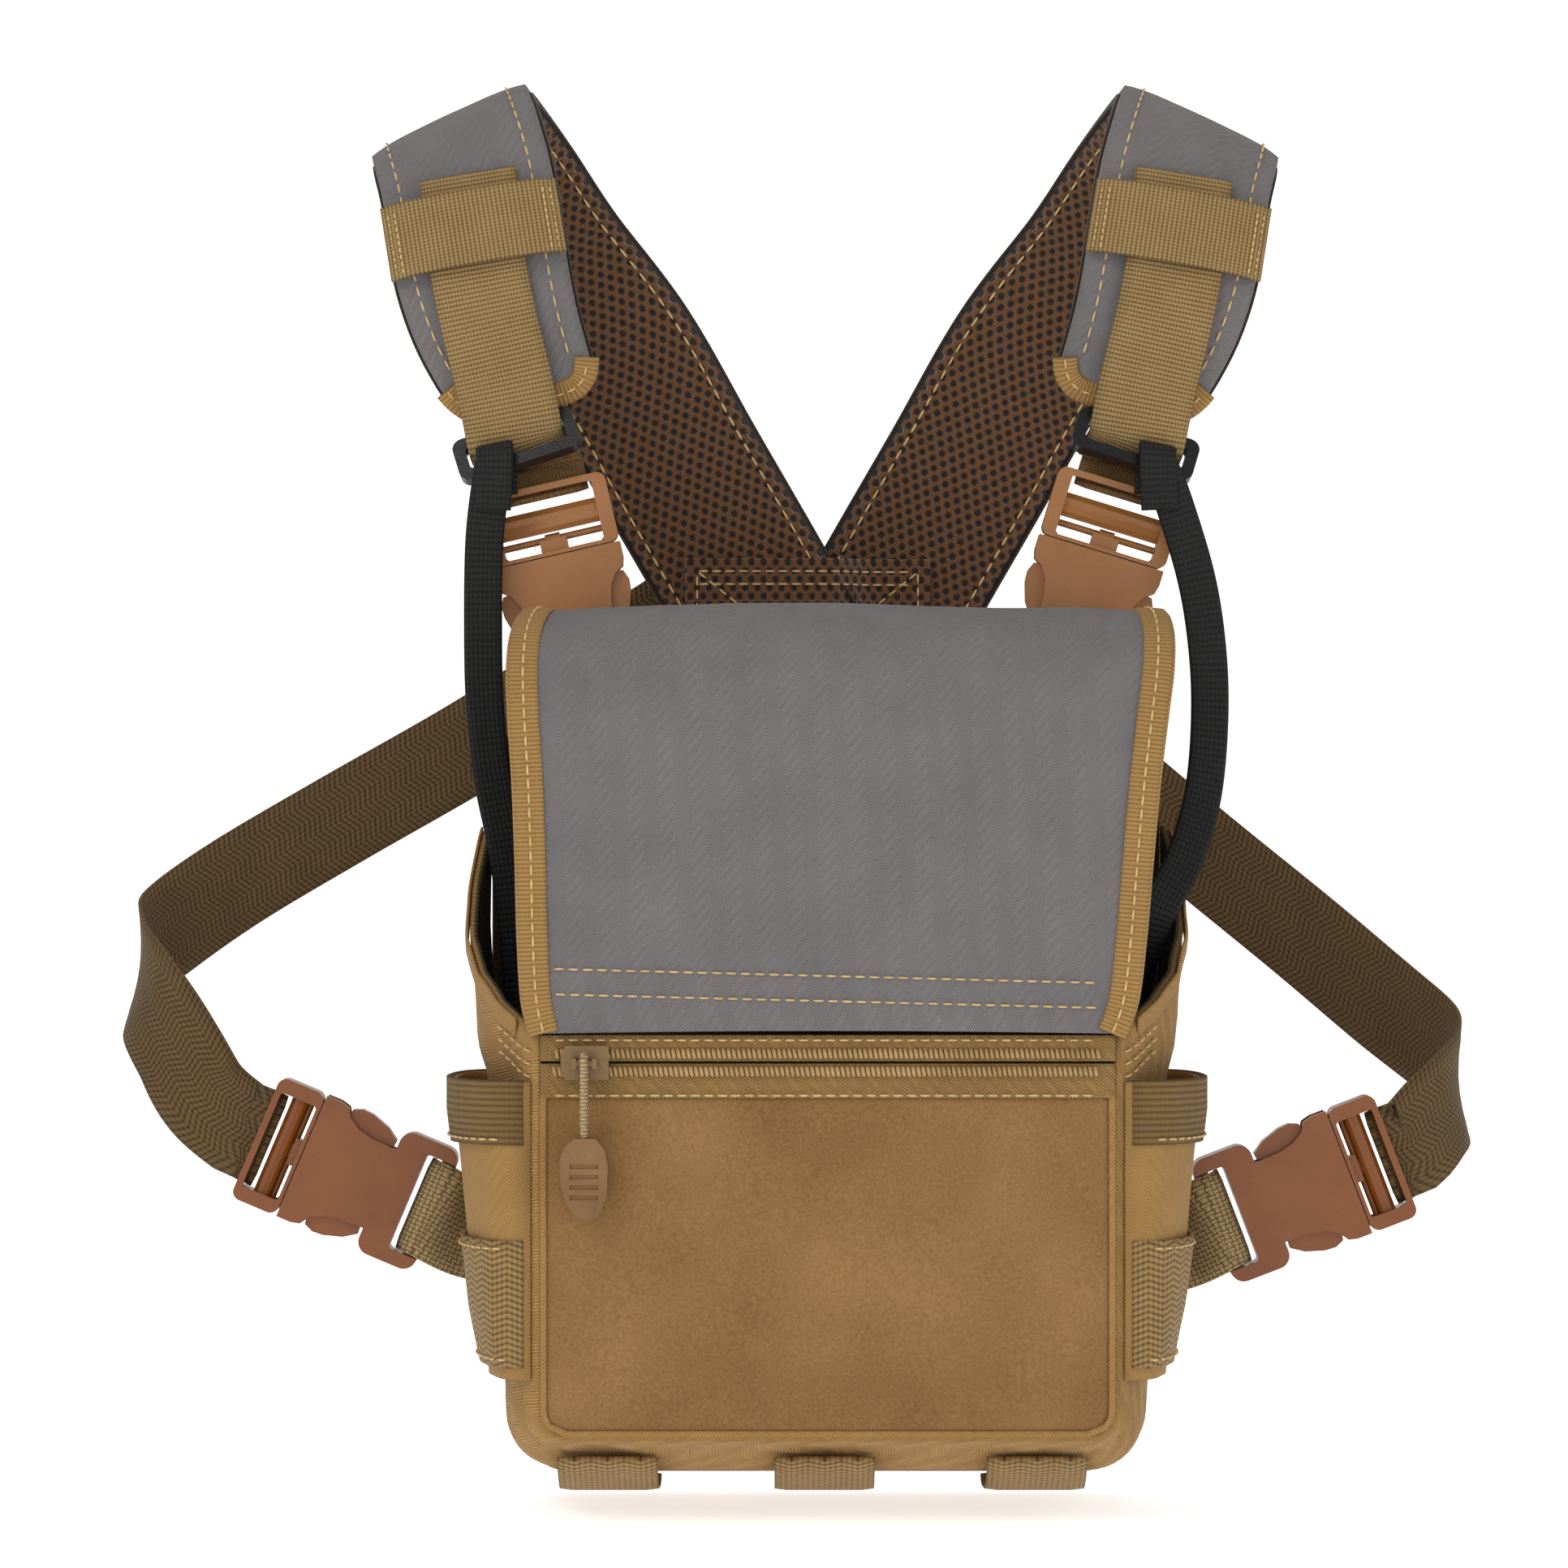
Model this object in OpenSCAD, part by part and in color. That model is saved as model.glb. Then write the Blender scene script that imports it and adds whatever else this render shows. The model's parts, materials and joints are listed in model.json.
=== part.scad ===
/* [Body] */
// Half width of the flat front panel
front_half_w = 73; // [68:0.5:74]
// Depth from the wearer's chest to the front panel
body_depth = 75; // [70:1:82]
// Height of the front panel's lower edge below the lid seam datum
front_drop = 97; // [92:1:100]
// Half width of the panel against the chest
back_half_w = 88; // [86:0.5:90]
// Height of the back panel's top edge
back_top = 85; // [80:1:86]
// Depth of the back panel's lower edge
back_drop = 112; // [108:1:116]
// Thickness of the side and bottom fabric
wall_t = 2; // [1.6:0.1:2.4]
/* [Lid] */
// Height of the fold where the lid hinges on the body
lid_seam_z = 6; // [5:0.5:8]
// Thickness of the lid's outer fabric
lid_skin_t = 1.2; // [1:0.1:1.6]
// Thickness of the lid's stiffening board
lid_board_t = 2; // [1.6:0.1:2.4]
// Radius of each closure magnet
magnet_r = 7.5; // [5:0.5:9]
/* [Zipper] */
// Height of the middle of the zipper chain
zip_z = -2; // [-2.5:0.1:-1.5]
// Distance of the parked slider from the middle of the pack
slider_park_x = 61; // [58:0.5:62]
/* [Webbing] */
// Width of the harness webbing
web_w = 25.4; // [24:0.2:26]
// Thickness of the harness webbing
web_t = 1.6; // [1.2:0.1:1.8]
// Width of the binocular tethers
tether_w = 10; // [8:0.5:11]
/* [Shoulder pads] */
// Width of a shoulder pad
pad_w = 45; // [42:0.5:46]
// Thickness of a shoulder pad's foam
pad_foam_t = 5.5; // [4:0.25:6]
/* [Buckles] */
// Width of a side release buckle
buckle_w = 34; // [33:0.5:36]
// Length of a buckle's socket, from its webbing ring to its mouth
socket_len = 38; // [37.5:0.5:39]
// Thickness of a side release buckle
buckle_t = 8.5; // [8.4:0.1:9]
/* [Hidden] */

gap = 0.3;          // clearance kept between pieces that only lie beside each other
corner_steps = 8;   // facets in a quarter turn of a fabric corner

// Colours of the materials
grey = [0.46, 0.44, 0.44];
tan = [0.65, 0.49, 0.25];
coyote = [0.54, 0.40, 0.24];
olive = [0.36, 0.28, 0.15];
mesh_brown = [0.36, 0.21, 0.10];
buckle_brown = [0.49, 0.28, 0.11];
black = [0.05, 0.05, 0.05];

// ---- vectors, curves and swept fabric ----

function unit(v) = v / norm(v);
function last(v) = v[len(v) - 1];

// One point of a smooth curve through a, b, c and d, a fraction t of the way from b to c
function spline_point(a, b, c, d, t) = 0.5 * (2 * b + (c - a) * t
    + (2 * a - 5 * b + 4 * c - d) * t * t + (3 * b - a - 3 * c + d) * t * t * t);

// A smooth route through hand-placed points, with n steps between neighbours
function smooth(p, n) = concat([for (i = [0:len(p) - 2], k = [0:n - 1])
    spline_point(p[max(i - 1, 0)], p[i], p[i + 1], p[min(i + 2, len(p) - 1)], k / n)],
    [last(p)]);

function place(s) = [s[0], s[1], s[2]];
function across(s) = [s[3], s[4], s[5]];
function tangent(r, i) = unit(place(r[min(i + 1, len(r) - 1)]) - place(r[max(i - 1, 0)]));
function width_dir(r, i) =
    let (t = tangent(r, i), w = across(r[i])) unit(w - (w * t) * t);

// Triangles round n rings of m points each
function side_faces(n, m) = [for (i = [0:n - 2], j = [0:m - 1], f = [
    [i * m + j, (i + 1) * m + j, i * m + (j + 1) % m],
    [(i + 1) * m + j, (i + 1) * m + (j + 1) % m, i * m + (j + 1) % m]]) f];

// Closed solid between equal rings of points; each ring lists one cross-section in turn
module ring_solid(rings) {
    m = len(rings[0]);
    n = len(rings);
    polyhedron(points = [for (ring = rings, p = ring) p], faces = concat(
        [[for (j = [0:m - 1]) j]], [[for (j = [m - 1:-1:0]) (n - 1) * m + j]],
        side_faces(n, m)));
}

// Flat strip along stations [x, y, z, across x, y, z] between offsets low and high
// above the route; widths holds one width for each station
module strip(r, widths, low, high) {
    ring_solid([for (i = [0:len(r) - 1]) let (t = tangent(r, i), w = width_dir(r, i),
        n = cross(w, t), c = place(r[i]), h = widths[i] / 2)
        [c - h * w + low * n, c - h * w + high * n, c + h * w + high * n, c + h * w + low * n]]);
}

function same(r, w) = [for (i = [0:len(r) - 1]) w];

// Curved sheet between an outer and an inner grid of points with the same layout. Its end
// faces are built in narrow quads, because they can bend round a corner.
module sheet(outer, inner) {
    rings = [for (i = [0:len(outer) - 1]) concat(outer[i],
        [for (j = [len(inner[i]) - 1:-1:0]) inner[i][j]])];
    m = len(rings[0]);
    n = len(rings);
    polyhedron(points = [for (ring = rings, p = ring) p], faces = concat(
        [for (j = [0:m / 2 - 2], f = [[j, j + 1, m - 2 - j], [j, m - 2 - j, m - 1 - j]]) f],
        [for (j = [0:m / 2 - 2], f = [[m - 2 - j, j + 1, j], [m - 1 - j, m - 2 - j, j]])
            [for (k = f) (n - 1) * m + k]],
        side_faces(n, m)));
}

// Round-cornered rectangle from its left, bottom, right and top edges
function corner(x, z, r, from) = [for (k = [0:corner_steps])
    [x + r * cos(from + 90 * k / corner_steps), z + r * sin(from + 90 * k / corner_steps)]];
function round_box(l, b, r, t, radius) = concat(
    corner(r - radius, b + radius, radius, -90), corner(r - radius, t - radius, radius, 0),
    corner(l + radius, t - radius, radius, 90), corner(l + radius, b + radius, radius, 180));

// Plate in the XZ plane from y = near to y = far
module plate(near, far, points) {
    translate([0, far, 0]) rotate([90, 0, 0]) linear_extrude(far - near) polygon(points);
}

// ---- back panel ----

back_corner = 14;
pad_y = -6;          // front face of the spacer pad
board_y = -7.5;      // front face of the stiffening board
liner_y = -9;        // front face of the lining, which is the compartment's rear wall
board_inset = 4;
catch_x = 45;
catch_z = back_top - 14;

function back_outline(inset) = round_box(-back_half_w + inset, -back_drop + inset,
    back_half_w - inset, back_top - inset, back_corner - inset);

module back_pad() { color(mesh_brown) plate(pad_y, 0, back_outline(0)); }

module back_board() {
    color(black) difference() {
        plate(board_y, pad_y, back_outline(board_inset));
        for (x = [-catch_x, catch_x]) translate([x, 0, catch_z])
            rotate([90, 0, 0]) cylinder(r = magnet_r + gap, h = 20, $fn = 48);
    }
}

module back_liner() { color(coyote) plate(liner_y, board_y, back_outline(0)); }

module catch_magnets() {
    color("silver") for (x = [-catch_x, catch_x]) translate([x, pad_y, catch_z])
        rotate([90, 0, 0]) cylinder(r = magnet_r, h = pad_y - board_y, $fn = 48);
}

// ---- body ----

// Stations from the front panel to the back panel:
// [depth, half width scale, lower edge, top edge, corner radius]
front_y = -body_depth;
body_stations = [
    [front_y, front_half_w, -front_drop, lid_seam_z - 1, 8],
    [front_y + 4, front_half_w + 4, -front_drop - 2, 8, 9],
    [-62, 83, -front_drop - 6, 13, 11],
    [-52, 88, -107, 20, 13],
    [-40, 90.5, -108.5, 29, 15],
    [-28, 91, -110, 41, 15],
    [-18, 90, -111, 50, 15],
    [liner_y - gap, 88.5, -back_drop, 57, 14]];

// Narrowing of the sides towards the bottom, as a share of the half width
function taper(z) = lookup(z, [[-112, 0.90], [-80, 0.92], [-50, 0.935], [-20, 0.955],
    [-7, 0.965], [0, 0.99], [10, 1], [30, 1.015], [60, 1.01]]);

// Half outline of one station's wall, from its top edge down to the middle of the bottom
side_rows = 9;
function wall_half(s, inset, sx) = let (
    b = s[2] + inset, r = s[4] - inset, z1 = b + s[4] - inset,
    keep = s[1] <= front_half_w + 5)
    concat(
        [for (k = [0:side_rows]) let (z = s[3] + (z1 - s[3]) * k / side_rows)
            [sx * (s[1] * (keep ? 1 : taper(z)) - inset), s[0], z]],
        [for (k = [1:corner_steps]) let (a = 90 * k / corner_steps,
            x1 = s[1] * (keep ? 1 : taper(z1)) - inset - r)
            [sx * (x1 + r * cos(a)), s[0], z1 - r * sin(a)]],
        [for (k = [1:2]) [sx * (s[1] - 20) * (1 - k / 2) * 0.9, s[0], b]]);

function wall(s, inset) = let (left = wall_half(s, inset, -1), right = wall_half(s, inset, 1))
    concat(left, [for (i = [len(right) - 2:-1:0]) right[i]]);

module body_shell() {
    color(tan) sheet([for (s = body_stations) wall(s, wall_t)],
        [for (s = body_stations) wall(s, 0)]);
}

// Flat inner wall of the compartment, just behind the front pocket
pocket_depth = 2.5;
front_wall_t = 1.5;
panel_t = 1.5;

module front_wall() {
    y = front_y + panel_t + pocket_depth;
    color(coyote) plate(y, y + front_wall_t, round_box(-front_half_w - 0.5,
        -front_drop + wall_t + gap, front_half_w + 0.5, lid_seam_z - 2, 6));
}

tape_z = zip_z - 8.4;       // lower edge of the zipper's tapes
panel_side = front_half_w - wall_t - gap;

module pocket_panel() {
    color(coyote) plate(front_y, front_y + panel_t, round_box(-panel_side,
        -front_drop + wall_t + gap, panel_side, tape_z, 5));
}

tape_t = 1;
chain_out = 1.4;   // how far the coil stands out of its tape

module zipper_half(edge_z, coil_z) {
    color(tan) {
        translate([-panel_side, front_y, min(edge_z, coil_z)])
            cube([2 * panel_side, tape_t, abs(edge_z - coil_z)]);
        translate([-panel_side + 2, front_y - chain_out, coil_z < edge_z ? coil_z : coil_z - 2.9])
            cube([2 * panel_side - 4, chain_out, 2.9]);
    }
}

module zipper_tape_upper() { zipper_half(lid_seam_z - 2.4, zip_z + 0.2); }

module zipper_tape_lower() { zipper_half(tape_z + gap, zip_z - 0.2); }

// ---- outside of the body: side pockets, bands and loops ----

pocket_top = -7;
band_h = 16;
// Outline of a side pocket seen from above, for each height: [height, outer half width]
pocket_rows = [[pocket_top, 96], [-15, 96], [-23, 95], [-36, 93.6], [-50, 92.2], [-65, 90.3],
    [-81, 87]];
pocket_front_y = -70;
pocket_back_y = -13;
pocket_t = 1.5;

// Half width of the body's outer wall at one depth and height
function wall_x(y, z) = let (h = lookup(y, [for (s = body_stations) [s[0], s[1]]]))
    h * (h <= front_half_w + 5 ? 1 : taper(z));

// The bulge of the pocket between its front and back seams
pocket_bulge_steps = 10;
function pocket_x(z, t, inset) = let (
    y = pocket_front_y + (pocket_back_y - pocket_front_y) * t,
    lift = pow(sin(180 * t), 0.5), outer = lookup(-z, [for (r = pocket_rows) [-r[0], r[1]]]),
    x = wall_x(y, z) + gap)
    [x + max(outer - pocket_t - x, 0.2) * lift + pocket_t - inset, y, z];

function pocket_row(z, inset, sx) = [for (k = [0:pocket_bulge_steps])
    let (p = pocket_x(z, k / pocket_bulge_steps, inset)) [sx * p[0], p[1], p[2]]];

module side_pocket(sx) {
    color(tan) sheet([for (r = pocket_rows) pocket_row(r[0], pocket_t, sx)],
        [for (r = pocket_rows) pocket_row(r[0], 0, sx)]);
}

module side_pocket_left() { side_pocket(-1); }

module side_pocket_right() { mirror([1, 0, 0]) side_pocket(-1); }

// A band laid on the pocket between two heights
module band(top, bottom, t, sx) {
    rows = [for (k = [0:3]) top + (bottom - top) * k / 3];
    sheet([for (z = rows) [for (p = pocket_row(z, 0, sx)) p + [sx * band_lift, 0, 0]]],
        [for (z = rows) [for (p = pocket_row(z, 0, sx)) p + [sx * (band_lift + t), 0, 0]]]);
}

band_t = 1.2;
band_lift = 1;   // how far a band lies off the pocket's fabric

module pocket_band_left() { color(olive) band(pocket_top, pocket_top - band_h, band_t, -1); }

module pocket_band_right() { mirror([1, 0, 0]) pocket_band_left(); }

module side_bands() {
    color(olive) { band(-47, -79, band_t, -1);
        mirror([1, 0, 0]) band(-47, -79, band_t, -1); }
}

loop_xs = [-55.7, -0.7, 53.1];
loop_route = [[0, -66, -103.2, 1, 0, 0], [0, -62, -106.8, 1, 0, 0], [0, -50, -112.2, 1, 0, 0],
    [0, -35, -114, 1, 0, 0], [0, -20, -114.8, 1, 0, 0], [0, -13, -113.6, 1, 0, 0]];

module bottom_loops() {
    r = smooth(loop_route, 3);
    color(olive) for (x = loop_xs) translate([x, 0, 0]) strip(r, same(r, web_w), 0, web_t);
}

// ---- lid ----

lid_front_y = front_y - 1.5;
lid_rear_y = -12;
// Lid profile from the hinge up over the top and down to the rear lip:
// [depth, height, half width]
lid_profile = [[lid_front_y, lid_seam_z, 71], [lid_front_y, 15, 75.5], [lid_front_y, 32, 77],
    [lid_front_y + 0.3, 50, 78], [lid_front_y + 1, 70, 80], [lid_front_y + 2, 88, 82.5],
    [lid_front_y + 5, 99, 83.5], [lid_front_y + 11, 107.5, 83.5], [-56, 112.5, 82.5],
    [-46, 114, 81], [-34, 111.5, 79.5], [-23, 106.5, 78], [lid_rear_y - 3, 101.5, 77],
    [lid_rear_y, 95, 76.5], [lid_rear_y, 84, 76], [lid_rear_y, 70, 75]];
lid_curve = smooth(lid_profile, 2);

function lid_dir(i) = let (a = lid_curve[max(i - 1, 0)],
    b = lid_curve[min(i + 1, len(lid_curve) - 1)]) unit([b[0] - a[0], b[1] - a[1]]);

// Row of points across the lid at station i, sunk by depth, from x share a to b
function lid_row(i, depth, a, b, cols) = let (c = lid_curve[i], d = lid_dir(i))
    [for (k = [0:cols]) let (f = a + (b - a) * k / cols)
        [c[2] * f, c[0] + d[1] * depth, c[1] - d[0] * depth - 2.5 * f * f * min(0.3 + i / 11, 1)]];

function lid_rows(depth, from, to, inset) = [for (i = [from:to])
    let (e = 1 - inset / lid_curve[i][2]) lid_row(i, depth, -e, e, 8)];

lid_last = len(lid_curve) - 1;
lid_lip = lid_last - 6;         // last station of the stiffening board
lid_in = lid_skin_t + lid_board_t;   // depth of the lid's lining below its outer face

module lid_panel() {
    color(grey) sheet(lid_rows(0, 0, lid_last, 0), lid_rows(lid_skin_t, 0, lid_last, 0));
}

module lid_board() {
    color(black) sheet(lid_rows(lid_skin_t + gap, 2, lid_lip, 5),
        lid_rows(lid_in - 2.5 * gap, 2, lid_lip, 5));
}

module lid_liner() {
    color(coyote) sheet(lid_rows(lid_in, 0, lid_last, 1), lid_rows(lid_in + 0.8, 0, lid_last, 1));
}

// Tape along one side edge of the lid, on its outer face
binding_w = 7.5;
binding_t = 0.6;

module lid_binding(sx) {
    color(tan) sheet(
        [for (i = [0:lid_last]) let (w = lid_curve[i][2])
            lid_row(i, -binding_t, sx, sx * (1 - binding_w / w), 1)],
        [for (i = [0:lid_last]) let (w = lid_curve[i][2])
            lid_row(i, 0, sx, sx * (1 - binding_w / w), 1)]);
}

module lid_binding_left() { lid_binding(-1); }

module lid_binding_right() { mirror([1, 0, 0]) lid_binding(-1); }

module lid_magnets() {
    color("silver") for (x = [-catch_x, catch_x])
        translate([x, lid_rear_y - lid_skin_t - 0.2, catch_z])
            rotate([90, 0, 0]) cylinder(r = magnet_r, h = lid_board_t - 0.4, $fn = 48);
}

// ---- zipper slider, pull cord and tab ----

slider_y = front_y - chain_out - gap;    // rear face of the slider's plate
slider_half = 6;
slider_t = 1.8;
bail_y = slider_y - slider_t - 3.5;      // axis that the pull swings about
bail_r = 0.9;

module zipper_slider() {
    color(tan) translate([-slider_park_x, 0, zip_z]) {
        translate([0, slider_y, 0]) rotate([90, 0, 0]) linear_extrude(slider_t)
            polygon([[-slider_half, -2.6], [-slider_half + 1.2, -4.3], [slider_half, -4.3],
                [slider_half, 4.3], [-slider_half + 1.2, 4.3], [-slider_half, 2.6]]);
        for (side = [-1, 1]) translate([-slider_half + 1.5, slider_y, side * 3.9 - 0.4])
            cube([2 * slider_half - 1.5, 1.2, 0.8]);
        for (x = [-3.2, 2]) translate([x, bail_y - 1, -1.3])
            cube([1.2, slider_y - slider_t - bail_y + 1.3, 2.6]);
        translate([-3.2, bail_y, 0]) rotate([0, 90, 0]) cylinder(r = bail_r, h = 6.4, $fn = 24);
    }
}

cord_d = 2.2;
tab_top = -20.6;
tab_h = 20.5;
tab_w = 12;
tab_t = 5.5;

// Doubled pull cord, from the tab up around the bail and back
cord_loop_r = bail_r + 0.1 + cord_d / 2;
cord_x = -slider_park_x;
cord_end_z = tab_top - zip_z;
cord_sides = 8;
function cord_path() = concat(
    [for (k = [0:4]) let (f = k / 4) [0, -cord_loop_r * (0.62 + 0.38 * f), cord_end_z * (1 - f)]],
    [for (a = [20:20:160]) [0, -cord_loop_r * cos(a), cord_loop_r * sin(a)]],
    [for (k = [0:4]) let (f = k / 4) [0, cord_loop_r * (1 - 0.38 * f), cord_end_z * f]]);

// Tube with cord_sides sides along points that stay in the YZ plane
module cord_tube(p, d) {
    ring_solid([for (i = [0:len(p) - 1])
        let (t = unit(p[min(i + 1, len(p) - 1)] - p[max(i - 1, 0)]), n = cross(t, [1, 0, 0]))
        [for (k = [0:cord_sides - 1]) let (a = 360 * k / cord_sides)
            p[i] + d / 2 * (cos(a) * [1, 0, 0] + sin(a) * n)]]);
}

module zipper_cord() {
    color(tan) translate([cord_x, bail_y, zip_z]) cord_tube(cord_path(), cord_d);
}

module zipper_tab() {
    color(coyote) translate([cord_x, bail_y, tab_top]) difference() {
        translate([0, tab_t / 2, 0]) rotate([90, 0, 0]) linear_extrude(tab_t)
            polygon([[-2.5, 0], [3, 0], [5.2, -3], [6, -7], [5.6, -15], [3.4, -19.5],
                [1, -tab_h], [-1.6, -tab_h + 0.3], [-4, -17], [-5.8, -12], [-6, -5], [-4.8, -2]]);
        for (k = [0:3]) for (side = [-1, 1]) translate([-3.6, side * tab_t / 2, -7 - 2.6 * k])
            rotate([0, 90, 0]) cylinder(r = 0.55, h = 7.2, $fn = 16);
    }
}

// ---- shoulder harness ----

mesh_t = 2;
layer_gap = 0.5;                // room between the foam and the fabric over it
cover_t = 1;
pad_low = -(mesh_t + pad_foam_t + cover_t) / 2;   // inner face of a pad below its route
// Left pad, from its front end up over the shoulder and down to the crossing on the back
pad_route = [[-81.2, -5, 165, 0.968, 0, 0.25], [-83.5, -7.5, 173, 0.968, 0, 0.25],
    [-88, -9.5, 190, 0.968, 0, 0.25], [-91.5, -8, 209, 0.96, 0, 0.28],
    [-94.5, -3, 226, 0.95, 0, 0.31], [-98, 6, 238.5, 0.93, 0, 0.37],
    [-99.5, 21, 243, 0.90, 0, 0.43], [-96, 36, 239, 0.89, 0, 0.45],
    [-88, 48, 228, 0.88, 0, 0.47], [-76, 54, 210, 0.873, 0, 0.487],
    [-57, 56, 185, 0.873, 0, 0.487], [-39, 56, 153.5, 0.873, 0, 0.487],
    [-21, 56, 122.3, 0.873, 0, 0.487], [-6.4, 56, 96, 0.873, 0, 0.487]];
yoke_shift = 9;                 // the right pad lies behind the left one at the crossing
pad_steps = 3;

// The pad of one side; the right one settles further back along its rear half
function pad_stations(side) = side == "left" ? smooth(pad_route, pad_steps)
    : smooth([for (s = pad_route) [-s[0], s[1] + yoke_shift * min(max((s[1] - 4) / 52, 0), 1),
        s[2], s[3], s[4], -s[5]]], pad_steps);

// Widths that round off the front end of a pad
function pad_widths(r, w) = [for (i = [0:len(r) - 1])
    w - (i < 4 ? [13, 6, 2.5, 0.8][i] : 0)];

module pad_layer(side, w, low, high) {
    r = pad_stations(side);
    strip(r, pad_widths(r, w), pad_low + low, pad_low + high);
}

module shoulder_mesh(side) { color(mesh_brown) pad_layer(side, pad_w, 0, mesh_t); }

module shoulder_foam(side) {
    color(black) pad_layer(side, pad_w - 4, mesh_t + layer_gap, mesh_t + pad_foam_t - layer_gap);
}

module shoulder_cover(side) {
    color(grey) pad_layer(side, pad_w, mesh_t + pad_foam_t, mesh_t + pad_foam_t + cover_t);
}

module shoulder_mesh_left() { shoulder_mesh("left"); }

module shoulder_mesh_right() { shoulder_mesh("right"); }

module shoulder_foam_left() { shoulder_foam("left"); }

module shoulder_foam_right() { shoulder_foam("right"); }

module shoulder_cover_left() { shoulder_cover("left"); }

module shoulder_cover_right() { shoulder_cover("right"); }

yoke_y = 70;
yoke_t = 2;

module yoke_patch() {
    color(mesh_brown) plate(yoke_y, yoke_y + yoke_t, round_box(-33, 66, 33, 131, 4));
}

// Route of the adjuster webbing on the left pad, from its sewn end above the keeper
// down through the triglide to the ladder bar of the shoulder buckle
pad_top = -pad_low + 0.2;       // outer face of a pad above its route
adjuster_route = [[-94.2, -8.4, 228, 0.95, 0, 0.31], [-92.5, -12.2, 216, 0.96, 0, 0.28],
    [-91.3, -14.2, 205, 0.96, 0, 0.28], [-88.6, -15.5, 191, 0.968, 0, 0.25],
    [-84.5, -14.8, 174, 0.968, 0, 0.25], [-82.4, -14.4, 164, 0.968, 0, 0.25],
    [-80.9, -11.9, 156.5, 0.968, 0, 0.25], [-78.2, -6.6, 152.5, 0.97, 0, 0.24]];

function side_route(side, route) = side == "left" ? route
    : [for (s = route) [-s[0], s[1], s[2], s[3], s[4], -s[5]]];

sewn_end_t = 9.5;

module adjuster_webbing(side) {
    r = smooth(concat(side_route(side, adjuster_route),
        ladder_end(shoulder_buckle(side), shoulder_len, 1)), 4);
    t = tangent(r, 0);
    color(tan) {
        strip(r, same(r, web_w), -web_t / 2, web_t / 2);
        // folded end, sewn into a thick bar that can't pull back through the keeper
        strip([for (back = [sewn_end_t - 2, -2]) concat(place(r[0]) - back * t, across(r[0]))],
            [web_w, web_w], -web_t / 2 - 2, web_t / 2);
    }
}

module adjuster_webbing_left() { adjuster_webbing("left"); }

module adjuster_webbing_right() { adjuster_webbing("right"); }

// Keeper: a band across the pad that bows over the webbing
keeper_h = 20;
keeper_t = 1.2;
keeper_at = 10;                 // station of the pad that the keeper crosses

module keeper(side) {
    r = pad_stations(side);
    t = tangent(r, keeper_at);
    w = width_dir(r, keeper_at);
    n = cross(w, t);
    c = place(r[keeper_at]);
    function bow(u, lift) = c + u * w + n * (pad_top + lift
        + 3.6 * pow(max(cos(90 * min(abs(u) / (pad_w / 2 - 1), 1)), 0), 0.45));
    us = [for (k = [-6:6]) k * (pad_w / 2 + 0.8) / 6];
    rows = [for (k = [1, -1]) t * k * keeper_h / 2];
    color(tan) sheet([for (q = rows) [for (u = us) bow(u, 0) + q]],
        [for (q = rows) [for (u = us) bow(u, keeper_t) + q]]);
}

module keeper_left() { keeper("left"); }

module keeper_right() { keeper("right"); }

// Triglide: a rectangular ring that the webbing passes through
triglide_w = 33;
triglide_h = 13;
triglide_bar = 3.2;
triglide_pos = [-80.9, -12.8, 156.5];
triglide_roll = 18;
triglide_pitch = -30;

module triglide_shape() {
    rotate([90, 0, 0]) difference() {
        linear_extrude(triglide_bar, center = true) polygon(round_box(-triglide_w / 2,
            -triglide_h / 2, triglide_w / 2, triglide_h / 2, 3));
        translate([0, 0, -5]) linear_extrude(10) polygon(round_box(
            -web_w / 2 - 0.6, -triglide_h / 2 + triglide_bar, web_w / 2 + 0.6,
            triglide_h / 2 - triglide_bar, 1));
    }
}

module triglide_left() {
    color(black) translate(triglide_pos) rotate([0, -triglide_roll, 0])
        rotate([triglide_pitch, 0, 0]) triglide_shape();
}

module triglide_right() { mirror([1, 0, 0]) triglide_left(); }

// ---- tethers ----

tether_t = 1.2;
tether_route_left = [[-86.5, -18.6, 151.5, 0.98, 0, 0.2], [-88, -18, 143, 1, 0.05, 0.08],
    [-89.3, -17, 130, 1, 0.1, 0], [-89.6, -16.5, 110, 1, 0.15, 0],
    [-89.2, -16.5, 90, 1, 0.2, 0], [-87.2, -17, 70, 1, 0.3, 0.05],
    [-83.6, -17, 52, 1, 0.35, 0.1], [-81, -18, 34, 1, 0.3, 0.1], [-79.4, -19, 18, 1, 0.2, 0.1],
    [-78, -20, 6, 1, 0.1, 0.05], [-77.5, -20, 0.6, 1, 0, 0]];
tether_route_right = [[86.5, -18.6, 151.5, 0.98, 0, -0.2], [90.5, -18, 142, 0.98, 0, -0.2],
    [96.5, -18, 122, 0.98, 0, -0.15], [99.3, -19, 104, 1, 0.1, -0.05],
    [99.8, -22, 86, 1, 0.2, 0], [97.8, -27, 66, 1, 0.3, 0.1], [92.6, -34.5, 49, 1, 0.3, 0.2],
    [86, -39, 37, 1, 0.25, 0.25], [82, -37, 26, 1, 0.2, 0.2], [79, -30, 15, 1, 0.1, 0.1],
    [77.8, -23, 6, 1, 0, 0], [77.5, -20, 0.6, 1, 0, 0]];
tether_steps = 3;

module tether(route) {
    r = smooth(route, tether_steps);
    color(black) strip(r, same(r, tether_w), -tether_t / 2, tether_t / 2);
}

module tether_left() { tether(tether_route_left); }

module tether_right() { tether(tether_route_right); }

// Small clip on the end of a tether, which takes the binocular's own strap stub
clip_w = 13;
clip_t = 5;
clip_h = 22;

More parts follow.
